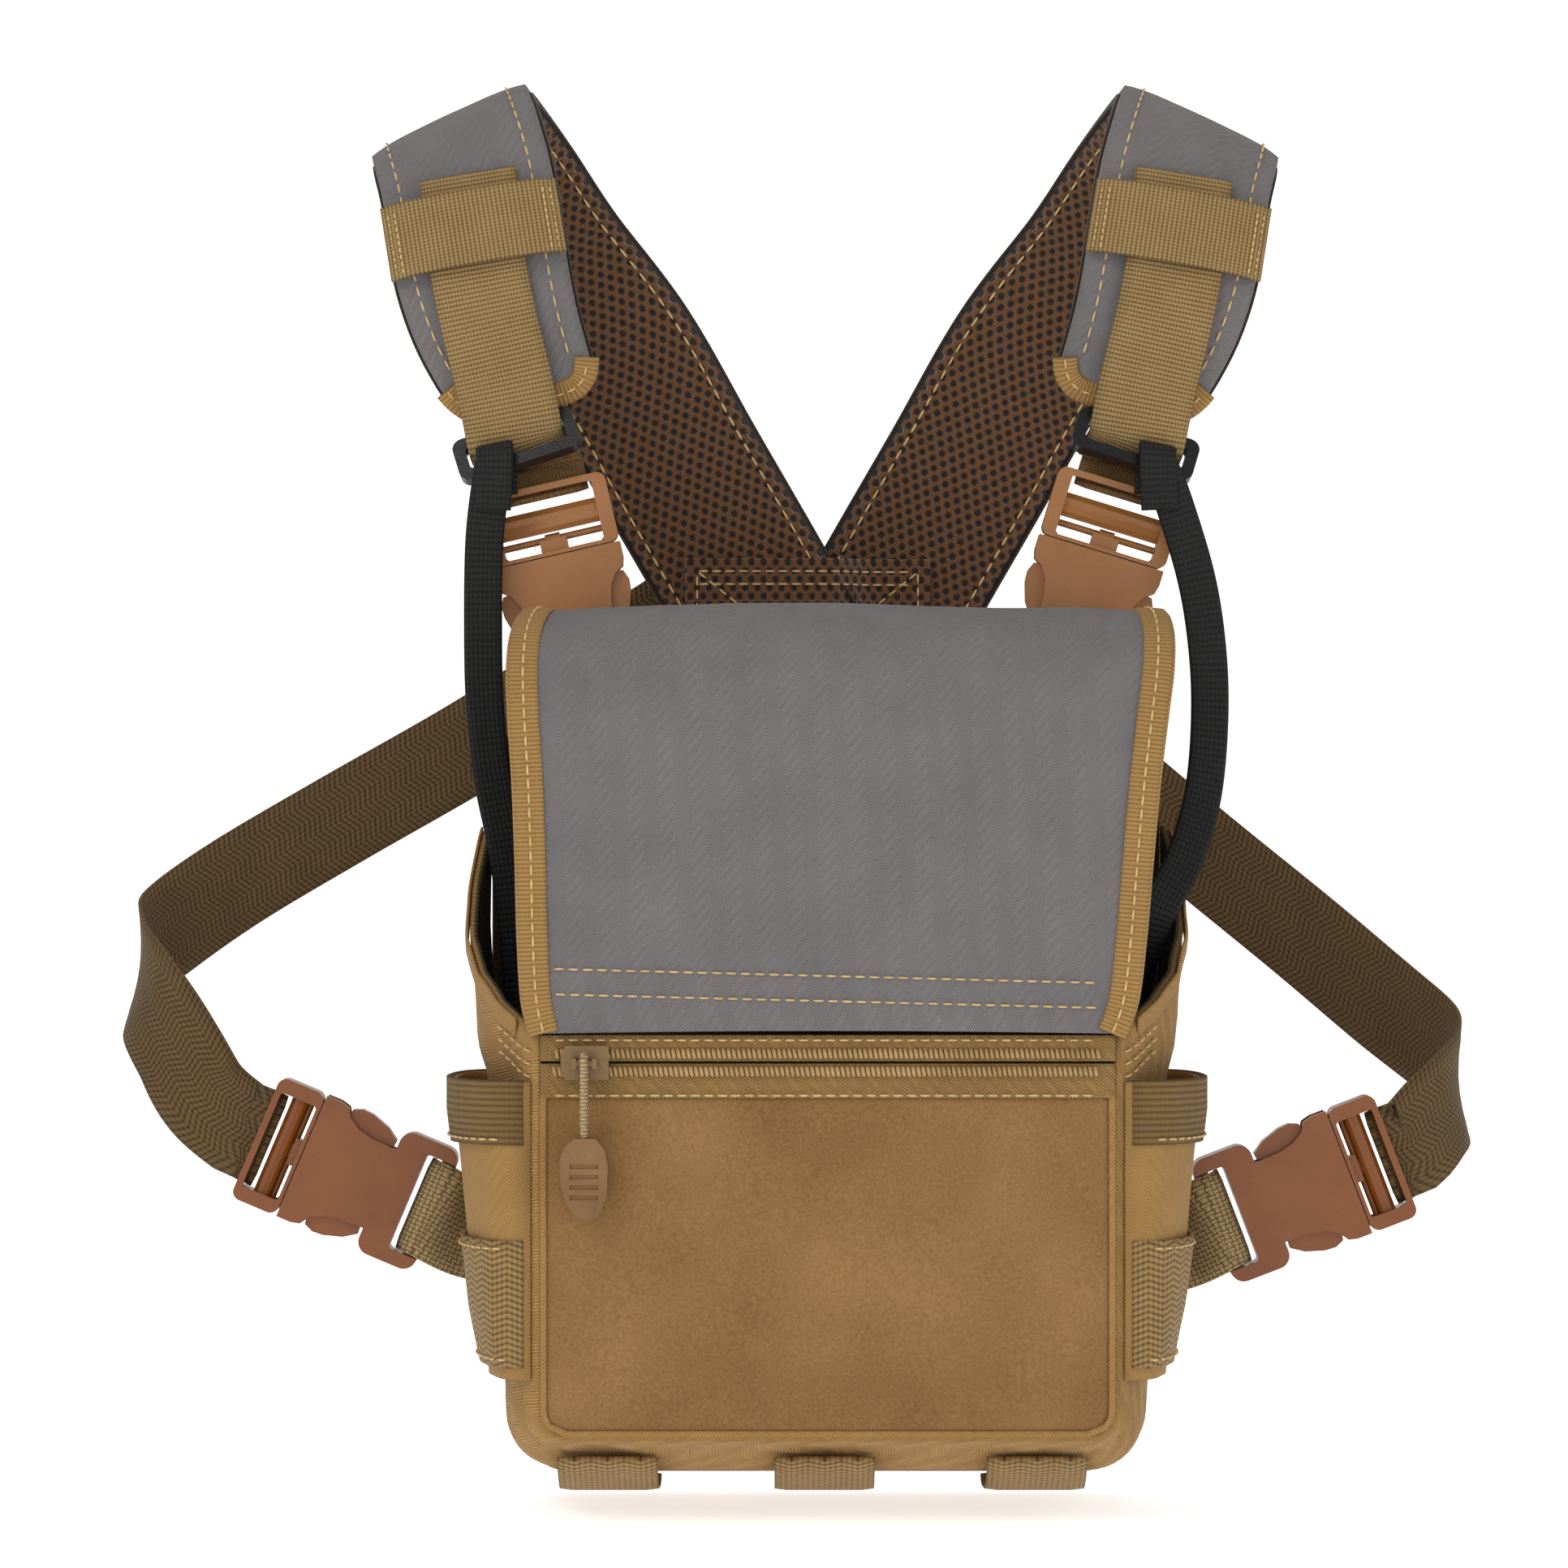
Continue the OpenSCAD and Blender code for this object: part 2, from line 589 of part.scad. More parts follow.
module tether_clip_left() {
    color(black) translate([-77.5, -20 + clip_t / 2, 0]) rotate([90, 0, 0]) difference() {
        linear_extrude(clip_t) polygon(round_box(-clip_w / 2, -clip_h, clip_w / 2, 0, 2));
        translate([0, 0, -1]) linear_extrude(clip_t + 2)
            polygon(round_box(-tether_w / 2, -clip_h + 3, tether_w / 2, -clip_h + 9, 1));
    }
}

module tether_clip_right() { mirror([1, 0, 0]) tether_clip_left(); }

// ---- waist straps ----

side_route_left = [[-22, 72.8, 128, -0.54, 0, 0.84], [-34, 73.4, 119, -0.54, 0, 0.84],
    [-62, 70, 101, -0.54, 0, 0.84], [-96, 60, 79, -0.52, 0, 0.85],
    [-132, 50, 58, -0.46, 0, 0.89], [-160, 40, 41, -0.38, 0, 0.93],
    [-177, 27, 28, -0.2, 0, 0.97], [-181.5, 12, 20, 0.1, 0, 1],
    [-178, -1, 11, 0.3, 0, 0.95], [-170, -8.5, -2, 0.38, 0, 0.92],
    [-162.9, -11.8, -13.8, 0.39, 0, 0.92]];
side_route_right = [[22, 72.8, 118, 0.54, 0, 0.84], [35, 73.4, 107.5, 0.54, 0, 0.84],
    [66, 68, 81, 0.54, 0, 0.84], [100, 60, 52, 0.52, 0, 0.85],
    [130, 48, 27, 0.46, 0, 0.89], [150, 36, 9.5, 0.38, 0, 0.93],
    [163, 22, -2, 0.2, 0, 0.97], [167, 8, -9, 0, 0, 1],
    [164.5, -4, -15, -0.25, 0, 0.95], [159.5, -10.5, -20, -0.35, 0, 0.93]];

module side_strap(side, route) {
    r = smooth(concat(route, ladder_end(side_buckle(side), side_len, side == "left" ? 1 : -1)), 4);
    color(olive) strip(r, same(r, web_w), -web_t / 2, web_t / 2);
}

module side_strap_left() { side_strap("left", side_route_left); }

module side_strap_right() { side_strap("right", side_route_right); }

// ---- side release buckles ----
// Local frame: x across, y along the webbing from the socket's ring to the plug's
// ladder end, z through the thickness with +z outwards.

side_len = socket_len + 13;        // closed length of a waist buckle
shoulder_len = socket_len + 19;    // closed length of a shoulder buckle, with a longer ladder
ring_len = 16;                     // length of the socket's webbing ring
ring_bar = 3.6;                    // the bar that the stub folds round
ring_slot = 8;                     // far edge of the ring's slot
bar_half_t = 2.25;
plate_t = 1.5;
cavity = buckle_t - 2 * plate_t;
prong_t = cavity - 0.8;
window_y = 17;                     // near end of a release window
window_len = 17;
neck_half = 11;
rib_x = 5.8;
rib_t = 1.4;
prong_root = [13.4, socket_len + 1];
slot_half = web_w / 2 + 0.5;
rim_t = 1.7;                       // the ladder's end rim
rim_low = 0.1;                     // rear face of the rim, which the webbing passes behind

// Outline of the socket's two plates, with both release windows cut away
function plate_half() = [[neck_half, ring_len - 1],
    [neck_half + 0.3, window_y + 6], [neck_half + 1.2, window_y + 10],
    [neck_half + 3, window_y + 13], [buckle_w / 2 - 0.6, window_y + window_len - 2.4],
    [buckle_w / 2, window_y + window_len], [buckle_w / 2, socket_len]];

module socket_plate(z) {
    pts = plate_half();
    translate([0, 0, z]) linear_extrude(plate_t) polygon(concat(pts,
        [for (i = [len(pts) - 1:-1:0]) [-pts[i][0], pts[i][1]]]));
}

module socket() {
    difference() {
        translate([0, 0, -buckle_t / 2]) linear_extrude(buckle_t) polygon(round_box(
            -buckle_w / 2, 0, buckle_w / 2, ring_len, 3.5));
        translate([0, 0, -buckle_t]) linear_extrude(2 * buckle_t) polygon(round_box(
            -slot_half, ring_bar, slot_half, ring_slot, 1));
        for (side = [0, 1]) mirror([0, 0, side]) translate([-slot_half, -1, bar_half_t])
            cube([2 * slot_half, ring_bar + 2, buckle_t]);
        translate([-neck_half + 1.4, 12.4, -cavity / 2])
            cube([2 * neck_half - 2.8, ring_len, cavity]);
    }
    for (z = [-buckle_t / 2, cavity / 2]) socket_plate(z);
    for (x = [-1, 1]) translate([x * rib_x - rib_t / 2, ring_len - 4, -cavity / 2])
        cube([rib_t, window_y + 12 - ring_len, cavity]);
}

// The plug: a shoulder, a guide tongue, and the ladder frame with its two bars
module plug(total) {
    ladder = total - socket_len;
    bar_top = total - rim_t - 0.24 * ladder;
    bar_len = 0.33 * ladder;
    rod_y = socket_len + 0.24 * ladder;
    difference() {
        translate([0, 0, -buckle_t / 2]) linear_extrude(buckle_t) polygon(round_box(
            -buckle_w / 2, socket_len + gap, buckle_w / 2, total, 2.4));
        translate([0, 0, -buckle_t]) linear_extrude(2 * buckle_t) polygon(round_box(
            -slot_half, socket_len + 1.3, slot_half, total - rim_t, 0.5));
        translate([-slot_half, total - rim_t - 1, rim_low - buckle_t])
            cube([2 * slot_half, rim_t + 2, buckle_t]);
        for (side = [-1, 1]) translate([side * prong_root[0] - 2, socket_len - 1, -cavity / 2])
            cube([4, 3.3, cavity]);
    }
    // ridged locking bar, its profile drawn in the YZ plane
    translate([-slot_half - 0.5, 0, 0]) rotate([90, 0, 90]) linear_extrude(2 * slot_half + 1)
        polygon([[bar_top, -1.4], [bar_top, 1.4], [bar_top - 0.25 * bar_len, 3],
            [bar_top - 0.5 * bar_len, 2.7], [bar_top - 0.8 * bar_len, 3.3],
            [bar_top - bar_len, 2.4], [bar_top - bar_len, -1.4]]);
    // thin rod beside it, with a bead in the middle
    translate([-slot_half - 0.5, rod_y, 0]) rotate([0, 90, 0])
        cylinder(r = 0.9, h = 2 * slot_half + 1, $fn = 24);
    translate([-2, rod_y, 0]) rotate([0, 90, 0]) cylinder(r = 1.5, h = 4, $fn = 24);
    // guide tongue between the socket's ribs
    translate([-3.6, window_y + 6, -prong_t / 2])
        cube([7.2, rod_y - window_y - 6, prong_t]);
}

// One release prong: a springy arm with a thumb piece, on its root at +x
module prong() {
    x = prong_root[0] - 0.8;
    end = prong_root[1];
    linear_extrude(prong_t, center = true) polygon([[x - 0.7, end],
        [x - 2.2, end - 5], [x - 2.6, window_y + 12], [x - 1.8, window_y + 3],
        [x - 1.2, window_y], [x + 0.6, window_y - 0.2], [x + 2.8, window_y + 3],
        [x + 4.4, window_y + 8], [x + 4.6, window_y + 11], [x + 3.6, window_y + 13.4],
        [x + 1.4, window_y + 13.8], [x + 1.8, end]]);
    translate([prong_root[0], end, 0]) cylinder(r = 1, h = prong_t, center = true, $fn = 32);
}

// Where each buckle sits: [x, y, z] of its ring's end, and a turn about Y that takes
// local +y from straight up towards +X
function shoulder_buckle(side) = side == "left" ? [-62.2, -4.75, 91, -13]
    : [61.3, -4.75, 92.4, 17];
function side_buckle(side) = side == "left" ? [-101.5, -18.5, -43.6, -67]
    : [100.5, -18.5, -46.6, 69];

module at_buckle(b) {
    translate([b[0], b[1], b[2]]) rotate([0, b[3], 0]) rotate([90, 0, 0]) children();
}

// Station of a webbing at local y and z in a buckle's frame, facing across the buckle
function buckle_station(b, y, z, flip) = [b[0] + y * sin(b[3]), b[1] - z, b[2] + y * cos(b[3]),
    flip * cos(b[3]), 0, -flip * sin(b[3])];

// Last stretch of a webbing, behind the ladder's rim and up through its slot
function ladder_end(b, total, flip) = [for (p = [[6, -3.6], [2.4, -2], [0, -1.4],
    [-rim_t - 0.6, -1.05], [-rim_t - 1.5, 0.8]]) buckle_station(b, total + p[0], p[1], flip)];

// First stretch of a stub, over the ring's bar and down into its slot
function ring_wrap(b, flip) = [for (p = [[0.5, 3.5], [2.7, 3.6], [5.3, 2], [6, -1.2]])
    buckle_station(b, p[0], p[1], flip)];

shoulder_left = shoulder_buckle("left");
shoulder_right = shoulder_buckle("right");
side_left = side_buckle("left");
side_right = side_buckle("right");

module shoulder_socket_left() { color(buckle_brown) at_buckle(shoulder_left) socket(); }

module shoulder_socket_right() { color(buckle_brown) at_buckle(shoulder_right) socket(); }

module side_socket_left() { color(buckle_brown) at_buckle(side_left) socket(); }

module side_socket_right() { color(buckle_brown) at_buckle(side_right) socket(); }

module shoulder_plug_left() { color(buckle_brown) at_buckle(shoulder_left) plug(shoulder_len); }

module shoulder_plug_right() { color(buckle_brown) at_buckle(shoulder_right) plug(shoulder_len); }

module side_plug_left() { color(buckle_brown) at_buckle(side_left) plug(side_len); }

module side_plug_right() { color(buckle_brown) at_buckle(side_right) plug(side_len); }

module prong_at(b, flip) {
    color(buckle_brown) at_buckle(b) mirror([flip ? 1 : 0, 0, 0]) prong();
}

module shoulder_prong_inner_left() { prong_at(shoulder_left, false); }

module shoulder_prong_outer_left() { prong_at(shoulder_left, true); }

module shoulder_prong_inner_right() { prong_at(shoulder_right, true); }

module shoulder_prong_outer_right() { prong_at(shoulder_right, false); }

module side_prong_upper_left() { prong_at(side_left, false); }

module side_prong_lower_left() { prong_at(side_left, true); }

module side_prong_upper_right() { prong_at(side_right, true); }

module side_prong_lower_right() { prong_at(side_right, false); }

// Short webbing stubs that hold the sockets to the pack, from the seam to the ring
module stub(start, b, flip) {
    r = smooth(concat(start, ring_wrap(b, flip)), 3);
    color(olive) strip(r, same(r, web_w), -web_t / 2, web_t / 2);
}

module side_stubs() {
    stub([[-88.2, -11.2, -50, 0, 0, 1], [-94, -14, -48.3, 0.2, 0, 0.98],
        [-99.3, -20.4, -45.2, 0.39, 0, 0.92]], side_left, 1);
    stub([[88.2, -11.2, -53, 0, 0, 1], [94, -14, -51, -0.2, 0, 0.98],
        [98.8, -20.4, -48, -0.36, 0, 0.93]], side_right, -1);
}

module shoulder_stubs() {
    stub([[-61.4, -4.75, back_top + 2.2, 1, 0, 0], [-61.6, -6.6, back_top + 3.8, 1, 0, 0.1]],
        shoulder_left, 1);
    stub([[59.8, -4.75, back_top + 2.4, 1, 0, 0], [60.2, -6.6, back_top + 4.2, 1, 0, -0.15]],
        shoulder_right, 1);
}

back_pad();
back_board();
back_liner();
catch_magnets();
body_shell();
front_wall();
pocket_panel();
zipper_tape_upper();
zipper_tape_lower();
side_pocket_left();
side_pocket_right();
pocket_band_left();
pocket_band_right();
side_bands();
bottom_loops();
side_stubs();
shoulder_stubs();
lid_panel();
lid_board();
lid_liner();
lid_binding_left();
lid_binding_right();
lid_magnets();
zipper_slider();
zipper_cord();
zipper_tab();
shoulder_cover_left();
shoulder_cover_right();
shoulder_foam_left();
shoulder_foam_right();
shoulder_mesh_left();
shoulder_mesh_right();
yoke_patch();
keeper_left();
keeper_right();
adjuster_webbing_left();
adjuster_webbing_right();
triglide_left();
triglide_right();
tether_left();
tether_right();
tether_clip_left();
tether_clip_right();
side_strap_left();
side_strap_right();
shoulder_socket_left();
shoulder_socket_right();
side_socket_left();
side_socket_right();
shoulder_plug_left();
shoulder_plug_right();
side_plug_left();
side_plug_right();
shoulder_prong_inner_left();
shoulder_prong_outer_left();
shoulder_prong_inner_right();
shoulder_prong_outer_right();
side_prong_upper_left();
side_prong_lower_left();
side_prong_upper_right();
side_prong_lower_right();
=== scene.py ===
import json
import math
import bmesh
import bpy
from mathutils import Vector, noise
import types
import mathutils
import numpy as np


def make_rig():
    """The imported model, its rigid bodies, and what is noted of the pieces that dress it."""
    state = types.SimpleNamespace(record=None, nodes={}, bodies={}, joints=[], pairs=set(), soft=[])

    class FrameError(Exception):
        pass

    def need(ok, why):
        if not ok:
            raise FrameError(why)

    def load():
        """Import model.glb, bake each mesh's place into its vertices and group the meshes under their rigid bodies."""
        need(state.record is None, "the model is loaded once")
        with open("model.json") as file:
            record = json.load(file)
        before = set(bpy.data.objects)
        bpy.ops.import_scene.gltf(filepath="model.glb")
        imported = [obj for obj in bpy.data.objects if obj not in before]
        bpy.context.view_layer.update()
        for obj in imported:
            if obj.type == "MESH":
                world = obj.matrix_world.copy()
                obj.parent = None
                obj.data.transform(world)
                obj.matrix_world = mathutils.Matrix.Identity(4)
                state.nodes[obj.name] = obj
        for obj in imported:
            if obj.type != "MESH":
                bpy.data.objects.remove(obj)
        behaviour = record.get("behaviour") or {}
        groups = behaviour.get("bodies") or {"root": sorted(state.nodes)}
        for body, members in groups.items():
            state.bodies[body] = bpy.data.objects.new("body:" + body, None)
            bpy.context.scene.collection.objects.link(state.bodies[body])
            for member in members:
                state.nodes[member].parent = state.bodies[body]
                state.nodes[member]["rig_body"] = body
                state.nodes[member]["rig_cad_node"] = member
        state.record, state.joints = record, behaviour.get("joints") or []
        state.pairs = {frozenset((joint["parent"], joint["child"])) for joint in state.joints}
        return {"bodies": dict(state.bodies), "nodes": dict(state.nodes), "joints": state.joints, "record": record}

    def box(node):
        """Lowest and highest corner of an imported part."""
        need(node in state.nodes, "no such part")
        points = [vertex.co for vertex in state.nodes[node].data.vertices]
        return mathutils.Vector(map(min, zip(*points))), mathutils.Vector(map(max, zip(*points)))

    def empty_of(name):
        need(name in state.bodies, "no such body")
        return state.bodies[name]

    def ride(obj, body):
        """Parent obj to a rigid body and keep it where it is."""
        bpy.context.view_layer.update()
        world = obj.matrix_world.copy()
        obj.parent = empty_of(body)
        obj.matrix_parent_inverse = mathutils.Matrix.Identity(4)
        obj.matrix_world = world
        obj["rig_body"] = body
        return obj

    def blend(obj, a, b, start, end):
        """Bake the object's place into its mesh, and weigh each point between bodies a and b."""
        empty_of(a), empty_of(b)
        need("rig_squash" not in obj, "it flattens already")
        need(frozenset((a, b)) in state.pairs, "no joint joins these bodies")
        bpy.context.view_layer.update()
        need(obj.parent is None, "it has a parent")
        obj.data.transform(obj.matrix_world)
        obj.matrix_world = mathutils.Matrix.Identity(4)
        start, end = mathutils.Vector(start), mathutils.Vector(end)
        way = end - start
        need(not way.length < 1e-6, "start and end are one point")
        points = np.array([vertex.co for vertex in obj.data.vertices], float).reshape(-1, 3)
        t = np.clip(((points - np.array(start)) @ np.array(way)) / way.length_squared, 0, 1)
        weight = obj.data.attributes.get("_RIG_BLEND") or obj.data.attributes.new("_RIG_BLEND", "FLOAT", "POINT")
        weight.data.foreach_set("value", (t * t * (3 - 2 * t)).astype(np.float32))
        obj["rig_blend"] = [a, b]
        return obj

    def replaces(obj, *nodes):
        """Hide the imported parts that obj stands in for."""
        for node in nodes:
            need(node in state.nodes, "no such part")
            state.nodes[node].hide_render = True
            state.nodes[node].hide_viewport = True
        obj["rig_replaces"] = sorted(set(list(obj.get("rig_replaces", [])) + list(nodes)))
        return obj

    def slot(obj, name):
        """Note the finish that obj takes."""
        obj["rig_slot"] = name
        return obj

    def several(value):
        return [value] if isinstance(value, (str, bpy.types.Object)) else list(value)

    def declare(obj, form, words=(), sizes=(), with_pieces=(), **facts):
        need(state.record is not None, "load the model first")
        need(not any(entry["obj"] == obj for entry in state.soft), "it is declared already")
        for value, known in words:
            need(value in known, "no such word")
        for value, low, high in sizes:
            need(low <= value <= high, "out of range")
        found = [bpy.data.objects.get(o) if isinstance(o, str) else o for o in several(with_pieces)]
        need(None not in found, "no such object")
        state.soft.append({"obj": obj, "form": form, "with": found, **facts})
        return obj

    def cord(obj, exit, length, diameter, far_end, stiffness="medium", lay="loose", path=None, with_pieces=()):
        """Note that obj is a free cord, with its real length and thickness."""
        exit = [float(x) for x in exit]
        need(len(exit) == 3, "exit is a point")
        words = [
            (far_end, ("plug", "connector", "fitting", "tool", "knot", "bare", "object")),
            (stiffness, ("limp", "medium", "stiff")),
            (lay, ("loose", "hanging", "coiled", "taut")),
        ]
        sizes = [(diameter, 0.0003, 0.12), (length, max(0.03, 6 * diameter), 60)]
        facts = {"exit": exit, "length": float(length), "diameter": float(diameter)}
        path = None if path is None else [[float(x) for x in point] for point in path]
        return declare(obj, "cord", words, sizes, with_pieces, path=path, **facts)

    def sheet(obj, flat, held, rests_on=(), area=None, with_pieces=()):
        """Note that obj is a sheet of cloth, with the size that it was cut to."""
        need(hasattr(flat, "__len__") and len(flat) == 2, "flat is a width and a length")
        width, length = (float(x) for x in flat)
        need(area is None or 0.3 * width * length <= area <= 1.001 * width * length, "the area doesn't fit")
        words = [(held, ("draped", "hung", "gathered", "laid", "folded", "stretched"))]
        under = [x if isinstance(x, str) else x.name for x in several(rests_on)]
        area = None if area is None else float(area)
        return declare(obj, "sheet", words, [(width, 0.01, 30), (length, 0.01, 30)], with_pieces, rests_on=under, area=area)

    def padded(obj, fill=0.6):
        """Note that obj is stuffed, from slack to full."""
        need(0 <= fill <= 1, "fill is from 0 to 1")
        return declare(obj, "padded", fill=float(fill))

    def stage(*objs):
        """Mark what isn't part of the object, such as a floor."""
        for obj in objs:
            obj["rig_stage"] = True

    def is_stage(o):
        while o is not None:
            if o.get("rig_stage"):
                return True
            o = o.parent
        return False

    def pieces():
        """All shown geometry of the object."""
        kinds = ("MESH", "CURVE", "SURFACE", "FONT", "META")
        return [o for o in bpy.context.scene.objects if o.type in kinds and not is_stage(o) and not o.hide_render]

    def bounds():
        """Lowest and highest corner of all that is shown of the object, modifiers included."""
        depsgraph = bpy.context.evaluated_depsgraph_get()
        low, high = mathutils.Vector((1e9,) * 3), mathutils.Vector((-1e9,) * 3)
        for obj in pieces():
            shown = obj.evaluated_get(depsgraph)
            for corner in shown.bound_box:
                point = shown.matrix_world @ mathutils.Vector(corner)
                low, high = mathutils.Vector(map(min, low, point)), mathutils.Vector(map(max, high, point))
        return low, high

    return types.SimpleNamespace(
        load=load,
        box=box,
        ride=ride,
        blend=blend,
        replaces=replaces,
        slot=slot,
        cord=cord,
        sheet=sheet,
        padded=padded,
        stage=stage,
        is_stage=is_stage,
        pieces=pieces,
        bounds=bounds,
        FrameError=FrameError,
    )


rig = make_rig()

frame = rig.load()
CAD_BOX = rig.bounds()
MM = 0.001

# ---- camera and lights

camera = bpy.data.objects.new("camera", bpy.data.cameras.new("camera"))
bpy.context.collection.objects.link(camera)
camera.location = (-0.011, -1.575, 0.068)
camera.rotation_euler = (math.radians(90), 0, 0)
camera.data.lens = 137
camera.data.sensor_width = 36
bpy.context.scene.camera = camera


def area_light(name, place, aim, size, power):
    light = bpy.data.objects.new(name, bpy.data.lights.new(name, "AREA"))
    light.data.size = size
    light.data.energy = power
    light.location = place
    light.rotation_euler = (Vector(aim) - Vector(place)).to_track_quat("-Z", "Y").to_euler()
    bpy.context.collection.objects.link(light)


area_light("key", (-0.9, -1.3, 1.3), (0, 0, 0.05), 0.9, 9.5)
area_light("fill", (1.3, -1.2, 0.5), (0, 0, 0.05), 1.2, 4)
area_light("front", (0, -1.9, 0.3), (0, 0, 0.05), 0.8, 3)
area_light("top", (0, 0.3, 1.5), (0, 0, 0.1), 1.0, 5)

world = bpy.data.worlds.new("studio")
bpy.context.scene.world = world
world.use_nodes = True
world.node_tree.nodes["Background"].inputs["Color"].default_value = (1, 1, 1, 1)
world.node_tree.nodes["Background"].inputs["Strength"].default_value = 0.38
bpy.context.scene.view_settings.view_transform = "Standard"

# ---- materials


class Shader:
    """A Principled material and short calls for its nodes."""

    def __init__(self, name, rough, sheen=0.0, specular=0.35):
        self.mat = bpy.data.materials.new(name)
        self.mat.use_nodes = True
        self.tree = self.mat.node_tree
        self.bsdf = self.tree.nodes["Principled BSDF"]
        self.bsdf.inputs["Roughness"].default_value = rough
        self.bsdf.inputs["Sheen Weight"].default_value = sheen
        self.bsdf.inputs["Specular IOR Level"].default_value = specular

    def node(self, kind, **settings):
        made = self.tree.nodes.new(kind)
        for key, value in settings.items():
            setattr(made, key, value)
        return made

    def link(self, out, into):
        self.tree.links.new(out, into)

    def math(self, operation, a, b=None):
        made = self.node("ShaderNodeMath", operation=operation)
        for socket, value in zip(made.inputs, (a, b)):
            if isinstance(value, (int, float)):
                socket.default_value = value
            elif value is not None:
                self.link(value, socket)
        return made.outputs[0]

    def mix(self, a, share, b, other):
        """Two values added, each times its own share."""
        return self.math("ADD", self.math("MULTIPLY", a, share), self.math("MULTIPLY", b, other))

    def axes(self):
        """The two texture axes in metres, and the vector itself."""
        coord = self.node("ShaderNodeTexCoord")
        split = self.node("ShaderNodeSeparateXYZ")
        self.link(coord.outputs["UV"], split.inputs[0])
        return split.outputs[0], split.outputs[1], coord.outputs["UV"]

    def ridge(self, axis, pitch):
        """Rounded threads 0 to 1, one for each pitch along an axis."""
        return self.math("ABSOLUTE", self.math("SINE", self.math("MULTIPLY", axis, math.pi / pitch)))

    def noise(self, scale, detail=3.0):
        coord = self.node("ShaderNodeTexCoord")
        made = self.node("ShaderNodeTexNoise")
        made.inputs["Scale"].default_value = scale
        made.inputs["Detail"].default_value = detail
        self.link(coord.outputs["Object"], made.inputs["Vector"])
        return made.outputs[0]

    def colour(self, value, dark, light, low=0.0, high=1.0):
        ramp = self.node("ShaderNodeValToRGB")
        ramp.color_ramp.elements[0].position = low
        ramp.color_ramp.elements[1].position = high
        ramp.color_ramp.elements[0].color = (*dark, 1)
        ramp.color_ramp.elements[1].color = (*light, 1)
        self.link(value, ramp.inputs[0])
        self.link(ramp.outputs[0], self.bsdf.inputs["Base Color"])

    def bump(self, height, distance):
        made = self.node("ShaderNodeBump")
        made.inputs["Distance"].default_value = distance
        self.link(height, made.inputs["Height"])
        self.link(made.outputs[0], self.bsdf.inputs["Normal"])


def rgb(r, g, b):
    """A colour given as the eye reads it, 0 to 255, as linear numbers."""
    def linear(c):
        c = c / 255
        return c / 12.92 if c <= 0.04045 else ((c + 0.055) / 1.055) ** 2.4
    return linear(r), linear(g), linear(b)


def woven(name, dark, light, warp, weft, depth=0.00025):
    """Plain weave: threads of two pitches that pass over and under each other."""
    s = Shader(name, 0.85, 0.05)
    u, v, vector = s.axes()
    over = s.node("ShaderNodeTexChecker")
    over.inputs["Scale"].default_value = 1
    over.inputs["Color1"].default_value = (1, 1, 1, 1)
    over.inputs["Color2"].default_value = (0, 0, 0, 1)
    scaled = s.node("ShaderNodeMapping")
    scaled.inputs["Scale"].default_value = (1 / warp, 1 / weft, 1)
    scaled.inputs["Location"].default_value = (0.001, 0.001, 0.5)
    s.link(vector, scaled.inputs[0])
    s.link(scaled.outputs[0], over.inputs["Vector"])
    a = s.math("MULTIPLY", s.ridge(u, warp), over.outputs["Fac"])
    b = s.math("MULTIPLY", s.ridge(v, weft), s.math("SUBTRACT", 1.0, over.outputs["Fac"]))
    height = s.math("MAXIMUM", a, b)
    s.colour(s.mix(height, 0.75, s.noise(90), 0.25), dark, light, 0.1, 0.95)
    s.bump(height, depth)
    return s.mat


def twill(name, dark, light, pitch, slope, fold, depth=0.0002):
    """Diagonal lines of thread that turn back at each fold, as in a herringbone."""
    s = Shader(name, 0.9, 0.06)
    u, v, _ = s.axes()
    lean = s.math("ADD", s.math("PINGPONG", u, fold), s.math("MULTIPLY", v, slope))
    line = s.ridge(lean, pitch)
    thread = s.ridge(s.math("SUBTRACT", u, s.math("MULTIPLY", v, slope)), pitch * 0.8)
    height = s.mix(line, 0.7, thread, 0.3)
    s.colour(s.mix(height, 0.72, s.noise(70), 0.3), dark, light, 0.1, 0.95)
    s.bump(height, depth)
    return s.mat


def ribbed(name, dark, light, rib, thread, depth=0.0004, sheen=0.04, wavy=0.0):
    """Webbing: ribs across its width, each of finer threads; wavy leans them like a twill."""
    s = Shader(name, 0.75, sheen)
    u, v, _ = s.axes()
    lean = s.math("ADD", v, s.math("MULTIPLY", s.math("PINGPONG", u, 0.0042), wavy))
    height = s.mix(s.ridge(lean, rib), 0.65, s.ridge(u, thread), 0.35)
    s.colour(s.mix(height, 0.8, s.noise(110), 0.2), dark, light, 0.15, 0.95)
    s.bump(height, depth)
    return s.mat


def brushed(name, dark, light):
    """Soft fabric with a short nap and slight clouding."""
    s = Shader(name, 0.95, 0.12, 0.15)
    nap = s.noise(1400, 4)
    s.colour(s.mix(nap, 0.55, s.noise(28, 4), 0.45), dark, light, 0.25, 0.75)
    s.bump(nap, 0.00012)
    return s.mat


def moulded(name, dark, light, rough=0.38, grain=0.00006, specular=0.5):
    """Moulded plastic with a fine spark-eroded texture and slight wear."""
    s = Shader(name, rough, 0.0, specular)
    fine = s.noise(1800, 2)
    s.colour(s.mix(s.noise(60), 0.7, fine, 0.3), dark, light, 0.3, 0.7)
    s.bump(fine, grain)
    return s.mat


